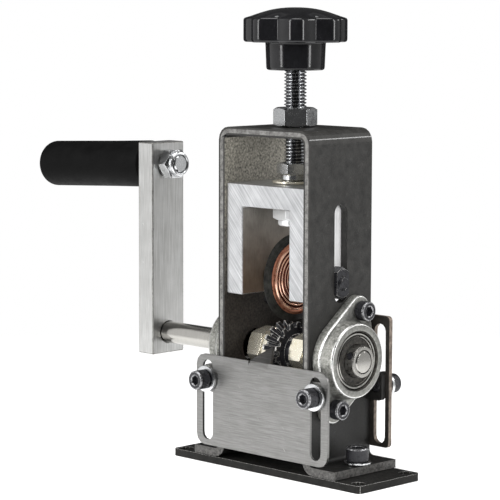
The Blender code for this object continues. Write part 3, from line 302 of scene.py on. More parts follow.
class FinishSettings(bpy.types.PropertyGroup):
    """One procedural finish."""

    name: StringProperty(name="Name", description="Material slot of the record, or a finish beside it",
                         default="")
    colour: FloatVectorProperty(name="Colour", description="Main colour", size=3,
                                default=(0.5, 0.5, 0.5), subtype="COLOR", min=0, max=1)
    second: FloatVectorProperty(name="Second colour", description="Colour of the patches", size=3,
                                default=(0.6, 0.6, 0.6), subtype="COLOR", min=0, max=1)
    metallic: FloatProperty(name="Metallic", description="Share of bare metal", default=0.0, min=0, max=1)
    roughness: FloatVectorProperty(name="Roughness", description="Lowest and highest roughness", size=2,
                                   default=(0.3, 0.5), min=0, max=1)
    patch: length_setting("Patch", "Size of the patches", 0.003, 0.0001)
    grain: FloatVectorProperty(name="Grain", description="Size of the grain along each axis", size=3,
                               default=(0.0005, 0.0005, 0.0005), subtype="XYZ", min=0.00005)
    grain_turn: angle_setting("Grain turn", "Turn of the grain about the depth", 0)
    bump: FloatProperty(name="Bump", description="Strength of the grain's bump", default=0.1, min=0, max=1)
    wear: FloatProperty(name="Wear", description="Share of the face with bare or rubbed marks",
                        default=0.0, min=0, max=1)


# Node materials

def new_material(name):
    """An empty node material, with its tree and its output node."""
    material = bpy.data.materials.new(name)
    material.use_nodes = True
    tree = material.node_tree
    tree.nodes.clear()
    output = tree.nodes.new("ShaderNodeOutputMaterial")
    return material, tree, output


def fill(tree, socket, value):
    """Link an output to a socket, or set the socket's own value."""
    if isinstance(value, bpy.types.NodeSocket):
        tree.links.new(value, socket)
    else:
        socket.default_value = value


def noise(tree, place, sizes, turn=(0, 0, 0), detail=3.0):
    """Noise whose features have a size along each axis, after a turn."""
    mapping = tree.nodes.new("ShaderNodeMapping")
    mapping.vector_type = "TEXTURE"
    tree.links.new(place, mapping.inputs["Vector"])
    mapping.inputs["Rotation"].default_value = turn
    mapping.inputs["Scale"].default_value = sizes
    texture = tree.nodes.new("ShaderNodeTexNoise")
    tree.links.new(mapping.outputs[0], texture.inputs["Vector"])
    texture.inputs["Scale"].default_value = 1
    texture.inputs["Detail"].default_value = detail
    return texture.outputs[0]


def spread(tree, value, low, high, bottom=0.0, top=1.0):
    """Spread a value from one range to another, and hold it there."""
    ramp = tree.nodes.new("ShaderNodeMapRange")
    fill(tree, ramp.inputs["Value"], value)
    ramp.inputs["From Min"].default_value = low
    ramp.inputs["From Max"].default_value = high
    ramp.inputs["To Min"].default_value = bottom
    ramp.inputs["To Max"].default_value = top
    return ramp.outputs[0]


def blend(tree, share, first, second):
    """Mix two colours."""
    mix = tree.nodes.new("ShaderNodeMix")
    mix.data_type = "RGBA"
    fill(tree, mix.inputs["Factor"], share)
    fill(tree, mix.inputs[6], first)
    fill(tree, mix.inputs[7], second)
    return mix.outputs[2]


def maths(tree, operation, first, second=0.0):
    """One step of arithmetic on values."""
    step = tree.nodes.new("ShaderNodeMath")
    step.operation = operation
    fill(tree, step.inputs[0], first)
    fill(tree, step.inputs[1], second)
    return step.outputs[0]


def around_axis(tree, place, axis, height):
    """Coordinates of marks that run round an axis: the distance from it and the place along it."""
    shift = tree.nodes.new("ShaderNodeVectorMath")
    shift.operation = "SUBTRACT"
    tree.links.new(place, shift.inputs[0])
    shift.inputs[1].default_value = (0, 0, height)
    split = tree.nodes.new("ShaderNodeSeparateXYZ")
    tree.links.new(shift.outputs[0], split.inputs[0])
    across = [split.outputs[index] for index in range(3) if index != axis]
    squares = [maths(tree, "MULTIPLY", value, value) for value in across]
    distance = maths(tree, "SQRT", maths(tree, "ADD", *squares))
    joined = tree.nodes.new("ShaderNodeCombineXYZ")
    tree.links.new(distance, joined.inputs[0])
    tree.links.new(split.outputs[axis], joined.inputs[1])
    return joined.outputs[0]


def build_finish(row, name=None, turned=None):
    """Make a material from its settings; turned gives the axis and height that its grain runs round."""
    turned_size, fine_size, rubbed_size = (0.00022, 0.00022, 1), 0.0009, (0.004, 0.004, 0.0007)
    bump_height = 0.0002
    material = bpy.data.materials.new(name or row.name)
    material.use_nodes = True
    tree = material.node_tree
    shader = tree.nodes["Principled BSDF"]
    place = tree.nodes.new("ShaderNodeTexCoord").outputs["Object"]
    patches = noise(tree, place, (row.patch, row.patch, row.patch), detail=4)
    if turned:
        grain = noise(tree, around_axis(tree, place, *turned), turned_size)
    else:
        grain = noise(tree, place, row.grain, (0, row.grain_turn, 0))
    fine = noise(tree, place, (fine_size, fine_size, fine_size), detail=6)
    brushed = 0.72 if max(row.grain) > 8 * min(row.grain) else 0.38
    tone = maths(tree, "ADD", maths(tree, "MULTIPLY", patches, 1 - brushed),
                 maths(tree, "MULTIPLY", grain, brushed))
    colour = blend(tree, spread(tree, tone, 0.36, 0.64), (*row.colour, 1), (*row.second, 1))
    if row.wear > 0:
        rubbed = noise(tree, place, rubbed_size, (0.5, 0.7, 0.3), detail=5)
        marks = spread(tree, rubbed, 0.70 - row.wear * 0.4, 0.78 - row.wear * 0.4, 0.0, 0.55)
        bare = tuple(min(1.0, part * 2.2 + 0.03) for part in row.colour)
        colour = blend(tree, marks, colour, (*bare, 1))
    tree.links.new(colour, shader.inputs["Base Color"])
    shader.inputs["Metallic"].default_value = row.metallic
    rough = spread(tree, maths(tree, "ADD", maths(tree, "MULTIPLY", patches, 0.5),
                               maths(tree, "MULTIPLY", fine, 0.5)), 0.38, 0.62, *row.roughness)
    tree.links.new(rough, shader.inputs["Roughness"])
    bump = tree.nodes.new("ShaderNodeBump")
    bump.inputs["Strength"].default_value = row.bump
    bump.inputs["Distance"].default_value = bump_height
    tree.links.new(maths(tree, "ADD", grain, maths(tree, "MULTIPLY", fine, 0.4)), bump.inputs["Height"])
    tree.links.new(bump.outputs[0], shader.inputs["Normal"])
    return material


# Shapes

def linked(name, data):
    """A new object in the scene."""
    thing = bpy.data.objects.new(name, data)
    bpy.context.scene.collection.objects.link(thing)
    return thing


def mesh_of(bm, name):
    """The mesh of a bmesh, which is freed."""
    mesh = bpy.data.meshes.new(name)
    bm.to_mesh(mesh)
    bm.free()
    return mesh


def wrapped(count, rows, point_at):
    """A turned form bent from a grid; point_at(row, angle) gives a radius, a height and an angle."""
    bm = bmesh.new()
    bmesh.ops.create_grid(bm, x_segments=count, y_segments=rows - 1, size=1)
    for vert in bm.verts:
        angle = (vert.co.x + 1) / 2 * full_turn
        row = round((vert.co.y + 1) / 2 * (rows - 1))
        radius, height, angle = point_at(row, angle)
        vert.co = (radius * math.cos(angle), radius * math.sin(angle), height)
    bmesh.ops.remove_doubles(bm, verts=bm.verts, dist=merge_distance)
    return bm


def spun(profile, steps, closed=True):
    """A turned form from (radius, height) points, spun about Z."""
    bm = bmesh.new()
    verts = [bm.verts.new((radius, 0, height)) for radius, height in profile]
    edges = [bm.edges.new(pair) for pair in zip(verts, verts[1:])]
    if closed:
        edges.append(bm.edges.new((verts[-1], verts[0])))
    bmesh.ops.spin(bm, geom=verts + edges, cent=(0, 0, 0), axis=(0, 0, 1), steps=steps, angle=full_turn,
                   use_merge=True)
    bmesh.ops.remove_doubles(bm, verts=bm.verts, dist=merge_distance)
    return bm


def rounded(points, radius, steps=3):
    """A profile with its inner corners rounded off by arcs."""
    result = [points[0]]
    for before, corner, after in zip(points, points[1:], points[2:]):
        before, corner, after = Vector(before), Vector(corner), Vector(after)
        way_in, way_out = (before - corner), (after - corner)
        cut = min(radius, way_in.length * 0.45, way_out.length * 0.45)
        start = corner + way_in.normalized() * cut
        end = corner + way_out.normalized() * cut
        for step in range(steps + 1):
            share = step / steps
            first = start.lerp(corner, share)
            second = corner.lerp(end, share)
            result.append(tuple(first.lerp(second, share)))
    return result + [points[-1]]


def ring_form(bore, outer, thick, rounding, steps):
    """A ring on Z = 0 between two radii, with rounded edges."""
    return spun(rounded([(bore, 0.0001), (bore, 0), (outer, 0), (outer, thick), (bore, thick),
                         (bore, thick - 0.0001)], rounding), steps)


def threaded(diameter, pitch, depth_share, bottom, top, chamfer, steps=36):
    """A rod with a right-hand thread cut on it, between two heights, with chamfered ends."""
    crest = diameter / 2
    root = crest - pitch * depth_share
    bm = bmesh.new()
    shares = ((0.0, root), (0.22, root), (0.56, crest), (0.68, crest), (1.0, root))
    turns = math.ceil((top - bottom) / pitch) + 2
    start = bottom - pitch
    verts = [bm.verts.new((radius, 0, start + share * pitch)) for share, radius in shares]
    edges = [bm.edges.new(pair) for pair in zip(verts, verts[1:])]
    bmesh.ops.spin(bm, geom=verts + edges, cent=(0, 0, 0), axis=(0, 0, 1),
                   dvec=(0, 0, pitch / steps), steps=steps * turns, angle=full_turn * turns)
    bmesh.ops.remove_doubles(bm, verts=bm.verts, dist=merge_distance)
    for height, outwards in ((bottom, -1), (top, 1)):
        bmesh.ops.bisect_plane(bm, geom=list(bm.verts) + list(bm.edges) + list(bm.faces),
                               plane_co=(0, 0, height), plane_no=(0, 0, outwards), clear_outer=True)
    for vert in bm.verts:
        nearest = min(vert.co.z - bottom, top - vert.co.z)
        limit = crest - chamfer + max(nearest, 0)
        radius = vert.co.xy.length
        if radius > limit:
            vert.co.xy *= limit / radius
    bmesh.ops.holes_fill(bm, edges=bm.edges)
    return bm


def hexagon_radius(flats, angle):
    """The distance from a hexagon's middle to its outline."""
    sixth = full_turn / 6
    return flats / 2 / math.cos((angle + sixth / 2) % sixth - sixth / 2)


def nut_form(flats, height, bore, collar=None):
    """A nut on Z = 0 with chamfered corners; collar gives the diameter and height of a round top."""
    circle = flats / 2 * nut_circle_share
    steps = 72
    break_edge = 0.0004

    def point_at(row, angle):
        corner = hexagon_radius(flats, angle)
        drop = max(corner - circle, 0) * nut_chamfer_slope
        rows = [(bore / 2, break_edge), (bore / 2 + break_edge, 0), (circle, 0), (corner, drop),
                (corner, height - drop), (circle, height)]
        if collar:
            round_radius, rise = collar[0] / 2, collar[1]
            rows += [(round_radius, height), (round_radius, height + rise - 2 * break_edge),
                     (round_radius - break_edge, height + rise - break_edge / 2),
                     (round_radius - 3 * break_edge, height + rise),
                     (bore / 2 + break_edge, height + rise), (bore / 2, height + rise - break_edge)]
        else:
            rows += [(bore / 2 + break_edge, height), (bore / 2, height - break_edge)]
        rows.append(rows[0])
        return (*rows[row], angle)

    return wrapped(steps, 13 if collar else 9, point_at)


def screw_form(diameter, length, head, socket, settings):
    """A socket screw, head on Z = 0: head and socket give the width and the height or depth."""
    head_radius, height = head[0] / 2, head[1]
    flats, depth = socket
    shank = diameter / 2
    corner = flats / 2 / math.cos(math.pi / 6)
    per_knurl = 4

    def point_at(row, angle):
        column = round(angle / full_turn * settings.knurl_count * per_knurl)
        groove = settings.knurl_depth if column % per_knurl == 0 else 0
        inside = hexagon_radius(flats, angle)
        rows = [(0, height - depth - 0.0007), (inside * 0.8, height - depth), (inside, height - depth),
                (inside, height - 0.00035), (corner + 0.0001, height - 0.0001), (corner + 0.0003, height),
                (head_radius - 0.0007, height), (head_radius - 0.0003, height - 0.00012),
                (head_radius - 0.00005, height - 0.0005), (head_radius, height - 0.0008),
                (head_radius - groove, height - 0.0010), (head_radius - groove, 0.0007),
                (head_radius, 0.0005), (head_radius - 0.0003, 0), (shank, 0), (shank, -length + 0.0005),
                (shank - 0.0005, -length), (0, -length)]
        return (*rows[row], angle)

    return wrapped(settings.knurl_count * per_knurl, 18, point_at)


def facing(side, spin=0.0):
    """The turn that lays a piece standing on Z along X, outwards, after a spin about itself."""
    return Matrix.Rotation(side * math.pi / 2, 4, "Y") @ Matrix.Rotation(spin, 4, "Z")


def standing(axis, side, spin=0.0):
    """The turn that points a piece standing on Z along an axis, after a spin about itself."""
    if axis == "X":
        return facing(side, spin)
    if axis == "Y":
        return Matrix.Rotation(-side * math.pi / 2, 4, "X") @ Matrix.Rotation(spin, 4, "Z")
    return Matrix.Rotation(0 if side > 0 else math.pi, 4, "X") @ Matrix.Rotation(spin, 4, "Z")


def finished(node, bm, matrix=None, rounding=0.0, coats=None, smooth=sharp_angle):
    """Turn a bmesh into the fine piece of a CAD node: shaded, edged, coated and riding its body."""
    if matrix:
        bmesh.ops.transform(bm, matrix=matrix, verts=bm.verts)
    bmesh.ops.recalc_face_normals(bm, faces=bm.faces)
    mesh = mesh_of(bm, f"{node}_fine")
    mesh.shade_smooth()
    mesh.set_sharp_from_angle(angle=smooth)
    piece = linked(f"{node}_fine", mesh)
    coats = coats or [slot_of[node]]
    for coat in coats:
        mesh.materials.append(finishes[coat])
    if rounding:
        edges = piece.modifiers.new("edges", "BEVEL")
        edges.width = rounding
        edges.segments = 2
        edges.limit_method = "ANGLE"
        edges.angle_limit = smooth
        edges.harden_normals = True
        edges.material = len(coats) - 1 if len(coats) > 1 else -1
    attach(piece, frame["nodes"][node]["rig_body"])
    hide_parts(node)
    return piece


def recoated(node, coat):
    """Give a CAD node that keeps its own shape a finish."""
    materials = frame["nodes"][node].data.materials
    materials.clear()
    materials.append(finishes[coat])


def coated(bm, coats, coat_at):
    """Give each face of a bmesh its coat out of a list; coat_at(face) returns the coat's name."""
    for face in bm.faces:
        face.material_index = coats.index(coat_at(face))


def dressed(node, rounding, coats=None, coat_at=None, round_bends=None, trim=None):
    """A CAD node's own shape with its facets merged, its bends rounded and its edges broken."""
    weld, flat_angle, least_bend, shortest_bend = 0.00001, math.radians(1), math.radians(12), 0.03
    bm = bmesh.new()
    bm.from_mesh(frame["nodes"][node].data)
    bmesh.ops.remove_doubles(bm, verts=bm.verts, dist=weld)
    bmesh.ops.dissolve_limit(bm, angle_limit=flat_angle, verts=bm.verts, edges=bm.edges)
    if round_bends:
        bends = [edge for edge in bm.edges if len(edge.link_faces) == 2
                 and least_bend < edge.calc_face_angle(0) < sharp_angle
                 and edge.calc_length() > shortest_bend]
        bmesh.ops.bevel(bm, geom=bends, offset=round_bends.bend_round, segments=round_bends.bend_steps,
                        profile=0.5, affect="EDGES", material=-1, clamp_overlap=True)
    kept = trim(bm) if trim else ()
    for face in bm.faces:
        face.material_index = coats.index(coat_at(face)) if coat_at and face not in kept else 0
    return finished(node, bm, None, rounding, coats)


def end_of(node, axis, side):
    """The coordinate at which a CAD node ends along an axis."""
    low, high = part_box(node)
    index = "XYZ".index(axis)
    return high[index] if side > 0 else low[index]


def middle_of(node):
    """The middle of a CAD node's box."""
    low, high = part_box(node)
    return (Vector(low) + Vector(high)) / 2


def seat(node, axis, side, reach, spin=0.0):
    """The matrix that stands a piece on its seat: so far in from the node's outer end along an axis."""
    place = middle_of(node)
    place["XYZ".index(axis)] = end_of(node, axis, side) - side * reach
    return Matrix.Translation(place) @ standing(axis, side, spin)


def span(node, axis):
    """The length of a CAD node's box along an axis."""
    return end_of(node, axis, 1) - end_of(node, axis, -1)


def cut_side(face):
    """Whether a face lies on the front or rear cut side of the frame's strip."""
    reach = abs(face.calc_center_median().y)
    return abs(face.normal.y) > flat_normal and abs(reach - strip_half_width) < 0.0005


def handle_place():
    """The place and the droop of the handle's axis, where it crosses the arm."""
    below_top = 0.0105
    arm = middle_of("crank_arm")
    centre = (arm.x, 0, arm.z + span("crank_arm", "Z") / 2 - below_top)
    return Matrix.Translation(centre) @ Matrix.Rotation(-handle_droop, 4, "Y")


def handle_seat(radius):
    """How far from the arm's middle a piece of this radius starts on the drooping axis."""
    return arm_half + seat_gap + radius * math.sin(handle_droop)


class Step:
    """What the operators share: their options, and the settings of the shapes that build reads."""

    bl_options = {"REGISTER", "UNDO"}

    def execute(self, context):
        self.build(context.scene.stripper_shapes)
        return {"FINISHED"}


class STRIPPER_OT_finishes(Step, bpy.types.Operator):
    """Make the procedural finishes"""

    bl_idname = "stripper.finishes"
    bl_label = "Finishes"

    def execute(self, context):
        rows = context.scene.stripper_finishes
        rows.clear()
        for name, values in finish_rows.items():
            row = rows.add()
            row.name = name
            (row.colour, row.second, row.metallic, row.roughness, row.patch, row.grain, row.grain_turn,
             row.bump, row.wear) = values
            finishes[name] = build_finish(row)
        for name, (source, node) in turned_rows.items():
            finishes[name] = build_finish(rows[source], name.replace("_", " "), (0, middle_of(node).z))
        finishes["threaded_zinc"] = build_finish(rows["zinc"], "threaded zinc", (2, 0))
        self.darkened_roots(finishes["threaded_zinc"])
        # Painted shade low on the frame's walls and in the block's window
        for name, (low, high, tint) in painted_shade_rows.items():
            self.painted_shade_below(finishes[name], low, high, tint)
        for name, socket, value in socket_rows:
            finishes[name].node_tree.nodes["Principled BSDF"].inputs[socket].default_value = value
        return {"FINISHED"}

    def tinted(self, material, share, tint):
        """Multiply a finish's colour by a tint where a share says so."""
        tree = material.node_tree
        socket = tree.nodes["Principled BSDF"].inputs["Base Color"]
        mix = tree.nodes.new("ShaderNodeMix")
        mix.data_type = "RGBA"
        mix.blend_type = "MULTIPLY"
        tree.links.new(share, mix.inputs["Factor"])
        tree.links.new(socket.links[0].from_socket, mix.inputs[6])
        mix.inputs[7].default_value = tint
        tree.links.new(mix.outputs[2], socket)

    def painted_shade_below(self, material, low, high, tint):
        """Paint shade onto a finish: let it pass into a darker tint between two heights, downwards."""
        tree = material.node_tree
        split = tree.nodes.new("ShaderNodeSeparateXYZ")
        tree.links.new(tree.nodes["Texture Coordinate"].outputs["Object"], split.inputs[0])
        self.tinted(material, spread(tree, split.outputs["Z"], low, high, 1.0, 0.0), tint)

    def darkened_roots(self, material):
        """Darken the roots of the adjusting screw's thread."""
        root, flank, root_tint = 0.0041, 0.0045, (0.16, 0.16, 0.17, 1)
        tree = material.node_tree
        place = tree.nodes["Texture Coordinate"].outputs["Object"]
        split = tree.nodes.new("ShaderNodeSeparateXYZ")
        tree.links.new(around_axis(tree, place, 2, 0), split.inputs[0])
        self.tinted(material, spread(tree, split.outputs["X"], root, flank, 1.0, 0.0), root_tint)


class STRIPPER_OT_frame(Step, bpy.types.Operator):
    """Dress the base plate and the bent frame with broken edges, bare cut edges, inner walls with a painted
    sheen, painted highlights on the bends and the base plate's edge, and painted shade low on the walls
    """

    bl_idname = "stripper.frame"
    bl_label = "Base and frame"

    def build(self, settings):
        inner = end_of("carriage_block", "X", 1) + 0.0008
        foot_end = end_of("frame_strip", "X", 1) - 0.0005
        plate_top, bend_height = 0.012, 0.1

        def frame_coat(face):
            centre, normal = face.calc_center_median(), face.normal
            if cut_side(face):
                return "cut_edge" if centre.z > foot_top else "foot_edge"
            # Facets of the bends that tilt upwards get the lighter paint: a painted highlight
            if 0.15 < normal.z < 0.98 and centre.z > bend_height:
                return "bend_paint"
            if abs(normal.x) > flat_normal and abs(centre.x) > foot_end:
                return "foot_edge"
            # Inner walls get the lighter paint: thinner paint, and a painted sheen
            if abs(normal.x) > flat_normal and abs(centre.x) < inner and centre.z > plate_top:
                return "inner_wall"
            return "frame_paint"

        dressed("frame_strip", settings.edge_round,
                ["frame_paint", "cut_edge", "inner_wall", "foot_edge", "bend_paint", "frame_paint"],
                frame_coat, settings, self.painted_border)
        # The base plate's rounded edge is painted bright: a rubbed edge and a painted highlight line
        dressed("base_plate", settings.plate_round, ["base_paint", "worn_tooth"])

    def painted_border(self, bm):
        """Part a narrow painted border from the strip's bare cut sides, and return its faces."""
        border, least_area = 0.0009, 0.0003
        bmesh.ops.bisect_plane(bm, geom=list(bm.verts) + list(bm.edges) + list(bm.faces),
                               plane_co=(0, 0, foot_top), plane_no=(0, 0, 1))
        bare = [face for face in bm.faces if cut_side(face) and face.calc_area() > least_area
                and face.calc_center_median().z > foot_top]
        inner = set(bare)
        rims = bmesh.ops.inset_region(bm, faces=bare, thickness=border, use_even_offset=True)["faces"]
        return {face for face in rims if face not in inner}


class STRIPPER_OT_bearings(Step, bpy.types.Operator):
    """Model the cast housings, the sealed outer rings and the inner rings"""

    bl_idname = "stripper.bearings"
    bl_label = "Bearings"

    def build(self, settings):
        lean = math.radians(21.5)
        outer_height = 0.0091

        def ring_coat(face):
            return "turned_steel" if abs(face.normal.x) > flat_normal else "sleeve_steel"

        for side, word in sides:
            back = Matrix.Translation((end_of(f"bearing_housing_{word}", "X", -side), 0,
                                       middle_of("drive_shaft").z))
            self.housing(f"bearing_housing_{word}", back @ Matrix.Rotation(-lean, 4, "X") @ facing(side))
            self.outer(f"bearing_outer_{word}", seat(f"bearing_outer_{word}", "X", side, outer_height))
            dressed(f"bearing_ring_{word}", settings.fine_round, ["sleeve_steel", "turned_steel"], ring_coat)
            for number in (1, 2):
                recoated(f"bearing_grub_{word}_{number}", "black_steel")

    def housing(self, node, matrix):
        reach, lobe, middle = 0.0225, 0.0065, 0.018
        line = math.acos((middle - lobe) / reach)
        tangent = math.atan2(lobe * math.sin(line), reach + lobe * math.cos(line))

        def outline(angle):
            folded = abs((angle + math.pi / 2) % math.pi - math.pi / 2)
            if folded >= line:
                return middle
            if folded >= tangent:
                return middle / math.cos(folded - line)
            return reach * math.cos(folded) + math.sqrt(lobe ** 2 - (reach * math.sin(folded)) ** 2)

        def point_at(row, angle):
            angle = angle - 0.3 * math.sin(2 * angle)
            edge = outline(angle)
            top = edge - 0.0007
            rows = [(0.0126, 0), (edge, 0), (edge, 0.0033), (edge - 0.0002, 0.0038), (top, 0.004),
                    (min(top, 0.0184), 0.00405), (min(top, 0.0177), 0.0043), (0.01715, 0.0052),
                    (0.0168, 0.0075), (0.0165, 0.0093), (0.0164, 0.0098), (0.0161, 0.0101),
                    (0.0158, 0.0102), (0.0137, 0.0102), (0.0134, 0.0101), (0.0128, 0.0095),
                    (0.0128, 0.0005), (0.0126, 0)]
            return (*rows[row], angle)

        def coat_at(face):
            centre = face.calc_center_median()
            distance = centre.xy.length
            if distance < 0.0134:
                return "bearing_seal"
            if 0.00395 < centre.z < 0.0052 or (centre.z > 0.01 and distance < 0.0157):
                return "cast_face"
            # The rim chamfers are painted bright: painted highlight lines
            if centre.z > 0.0095 or 0.0034 < centre.z < 0.00395:
                return "cast_rim"
            return "cast_housing"

        coats = ["cast_housing", "cast_face", "cast_rim", "bearing_seal"]
        bm = wrapped(240, 18, point_at)
        coated(bm, coats, coat_at)
        finished(node, bm, matrix, coats=coats, smooth=math.radians(40))

    def outer(self, node, matrix):
        profile = [(0.0073, 0), (0.0125, 0), (0.0125, 0.0087), (0.0121, 0.0091), (0.0119, 0.0091),
                   (0.0115, 0.0090), (0.0113, 0.0083), (0.0110, 0.0083), (0.0109, 0.0088),
                   (0.0107, 0.0090), (0.0105, 0.0088), (0.01045, 0.0084), (0.0103, 0.0082),
                   (0.0092, 0.0079), (0.0082, 0.0082), (0.0076, 0.0085), (0.0073, 0.0085)]

        def coat_at(face):
            centre = face.calc_center_median()
            distance = centre.xy.length
            seal = distance < 0.01046 or 0.01098 < distance < 0.01142
            if centre.z > 0.001 and seal:
                return "bearing_seal"
            return "cast_face" if 0.0118 > distance > 0.01142 else "turned_steel"

        coats = ["turned_steel", "bearing_seal", "cast_face"]
        bm = spun(profile, 96)
        coated(bm, coats, coat_at)
        finished(node, bm, matrix, coats=coats)


class STRIPPER_OT_drive(Step, bpy.types.Operator):
    """Model the shaft, the hobbed feed wheel and its clamping nuts"""

    bl_idname = "stripper.drive"
    bl_label = "Shaft and feed wheel"

    def build(self, settings):
        length = span("drive_shaft", "X")
        shaft = spun([(0, length), (0.0044, length), (0.00447, length - 0.00002), (0.00495, length - 0.0005),
                      (0.005, length - 0.0006), (0.005, 0.0005), (0.0045, 0), (0, 0)],
                     settings.turned_steps, closed=False)
        finished("drive_shaft", shaft, seat("drive_shaft", "X", 1, length), coats=["turned_steel"])
        axis = middle_of("drive_shaft")

        def reach(face):
            centre = face.calc_center_median()
            return math.hypot(centre.y - axis.y, centre.z - axis.z)

        # The crests and rounded edges of the teeth are painted bright: worn crests and painted highlights
        def tooth_coat(face):
            place = face.calc_center_median().x
            beside = [reach(other) for edge in face.edges for other in edge.link_faces
                      if abs(other.calc_center_median().x - place) < 0.0003]
            crest = abs(face.normal.x) < 0.8 and reach(face) >= max(beside) and len(beside) > len(face.edges)
            return "worn_tooth" if crest else "black_steel"

        wheel = dressed("feed_wheel", settings.tooth_round, ["black_steel", "worn_tooth"], tooth_coat)
        wheel.modifiers["edges"].use_clamp_overlap = False
        for side, word in sides:
            for kind in ("nut", "locknut"):
                node = f"wheel_{kind}_{word}"
                height = span(node, "X")
                finished(node, nut_form(large_nut_flats, height, large_nut_bore),
                         seat(node, "X", side, height, side * settings.wheel_nut_turn),
                         settings.fine_round, smooth=nut_smooth)


class STRIPPER_OT_crank(Step, bpy.types.Operator):
    """Model the crank arm, its handle bolt, lock nut and grub screw"""

    bl_idname = "stripper.crank"
    bl_label = "Crank arm"

    def build(self, settings):
        grip_room, grip_recess, bolt_end = 0.0733, 0.0095, 0.008
        nut_flats = 0.013
        # The arm's rounded edges take the darker sleeve steel: a painted line of shade along its edges
        dressed("crank_arm", settings.edge_round, ["arm_aluminium", "sleeve_steel"])
        recoated("arm_grub_screw", "black_steel")
        place = handle_place()
        nut_seat = handle_seat(nut_flats / math.sqrt(3))
        finished("handle_nut", nut_form(nut_flats, 0.0054, 0.0086, (0.01144, 0.0026)),
                 place @ Matrix.Translation((nut_seat, 0, 0)) @ facing(1), settings.fine_round,
                 smooth=nut_smooth)
        head_seat = handle_seat(grip_radius) + grip_room - grip_recess + seat_gap
        bolt = screw_form(0.008, head_seat + nut_seat + bolt_end, (0.013, 0.008), (0.006, 0.004), settings)
        finished("handle_bolt", bolt, place @ Matrix.Translation((-head_seat, 0, 0)) @ facing(-1))


class STRIPPER_OT_grip(Step, bpy.types.Operator):
    """Model the hand grip with its rounded end and the recess for the bolt's head"""

    bl_idname = "stripper.grip"
    bl_label = "Hand grip"

    def build(self, settings):
        length, end, bore, recess = 0.07285, 0.0045, 0.0043, 0.0068
        profile = [(bore, length - 0.009), (recess, length - 0.009), (recess, length - 0.0006),
                   (0.0072, length - 0.0001), (0.0076, length)]
        profile += [(grip_radius - end + end * math.sin(step / 10 * math.pi / 2),
                     length - end + end * math.cos(step / 10 * math.pi / 2)) for step in range(1, 11)]
        profile += [(grip_radius - 0.00004, length * 0.62), (grip_radius - 0.0001, length * 0.35),
                    (grip_radius, 0.0012), (grip_radius - 0.0003, 0.0004), (grip_radius - 0.001, 0),
                    (bore, 0)]
        matrix = handle_place() @ Matrix.Translation((-handle_seat(grip_radius), 0, 0)) @ facing(-1)
        finished("hand_grip", spun(profile, 96), matrix, smooth=math.radians(35))


class STRIPPER_OT_carriage(Step, bpy.types.Operator):
    """Model the milled block, the axle, its nuts and spacers and the thrust washer"""

    bl_idname = "stripper.carriage"
    bl_label = "Carriage"

    def build(self, settings):
        half = span("carriage_block", "X") / 2
        window = half - 0.004

        # Faces inside the window take the darker aluminium as painted shade; the block's sides take the
        # lighter one as painted light
        def block_coat(face):
            centre = face.calc_center_median()
            inside = abs(face.normal.y) < 0.5 and abs(centre.x) < window and face.normal.z < 0.5
            outside = abs(centre.x) > half - 0.001
            if abs(face.normal.x) > flat_normal and (outside or inside and face.normal.x < 0):
                return "block_side"
            return "window_wall" if inside else "block_aluminium"

        dressed("carriage_block", settings.fine_round,
                ["block_aluminium", "window_wall", "block_side", "block_aluminium"], block_coat)
        self.axle(half, settings)
        for side, word in sides:
            # The slot nuts' rounded edges are painted bright: painted glints
            dressed(f"slot_nut_{word}", settings.edge_round, ["black_steel", "worn_tooth"])
            node = f"axle_spacer_{word}"
            length = span(node, "X")
            spacer = ring_form(0.0042, 0.00575, length, 0.0004, settings.turned_steps)
            finished(node, spacer, seat(node, "X", side, length), coats=["turned_steel"])
        thick = span("thrust_washer", "Z")
        washer = ring_form(0.0054, 0.010, thick, 0.0003, settings.turned_steps)
        finished("thrust_washer", washer, seat("thrust_washer", "Z", 1, thick))

    def axle(self, half, settings):
        """The cutter's axle: plain in the block, threaded outside it."""
        radius, thread, overlap = 0.004, 0.006, 0.0002
        reach = span("cutter_axle", "X") / 2
        bm = spun(rounded([(0, half), (radius, half), (radius, -half), (0, -half)], 0.0002), 64,
                  closed=False)
        for low, high in ((half - overlap, reach), (-reach, -half + overlap)):
            end = mesh_of(threaded(thread, settings.small_pitch, settings.thread_depth_share, low, high,
                                   0.0007), "thread")
            bm.from_mesh(end)
            bpy.data.meshes.remove(end)

        def coat_at(face):
            thread_end = abs(face.calc_center_median().z) > half and abs(face.normal.z) > 0.5
            return "black_steel" if thread_end else "sleeve_steel"

        coats = ["sleeve_steel", "black_steel"]
        coated(bm, coats, coat_at)
        finished("cutter_axle", bm, Matrix.Translation(middle_of("cutter_axle")) @ facing(1), coats=coats)


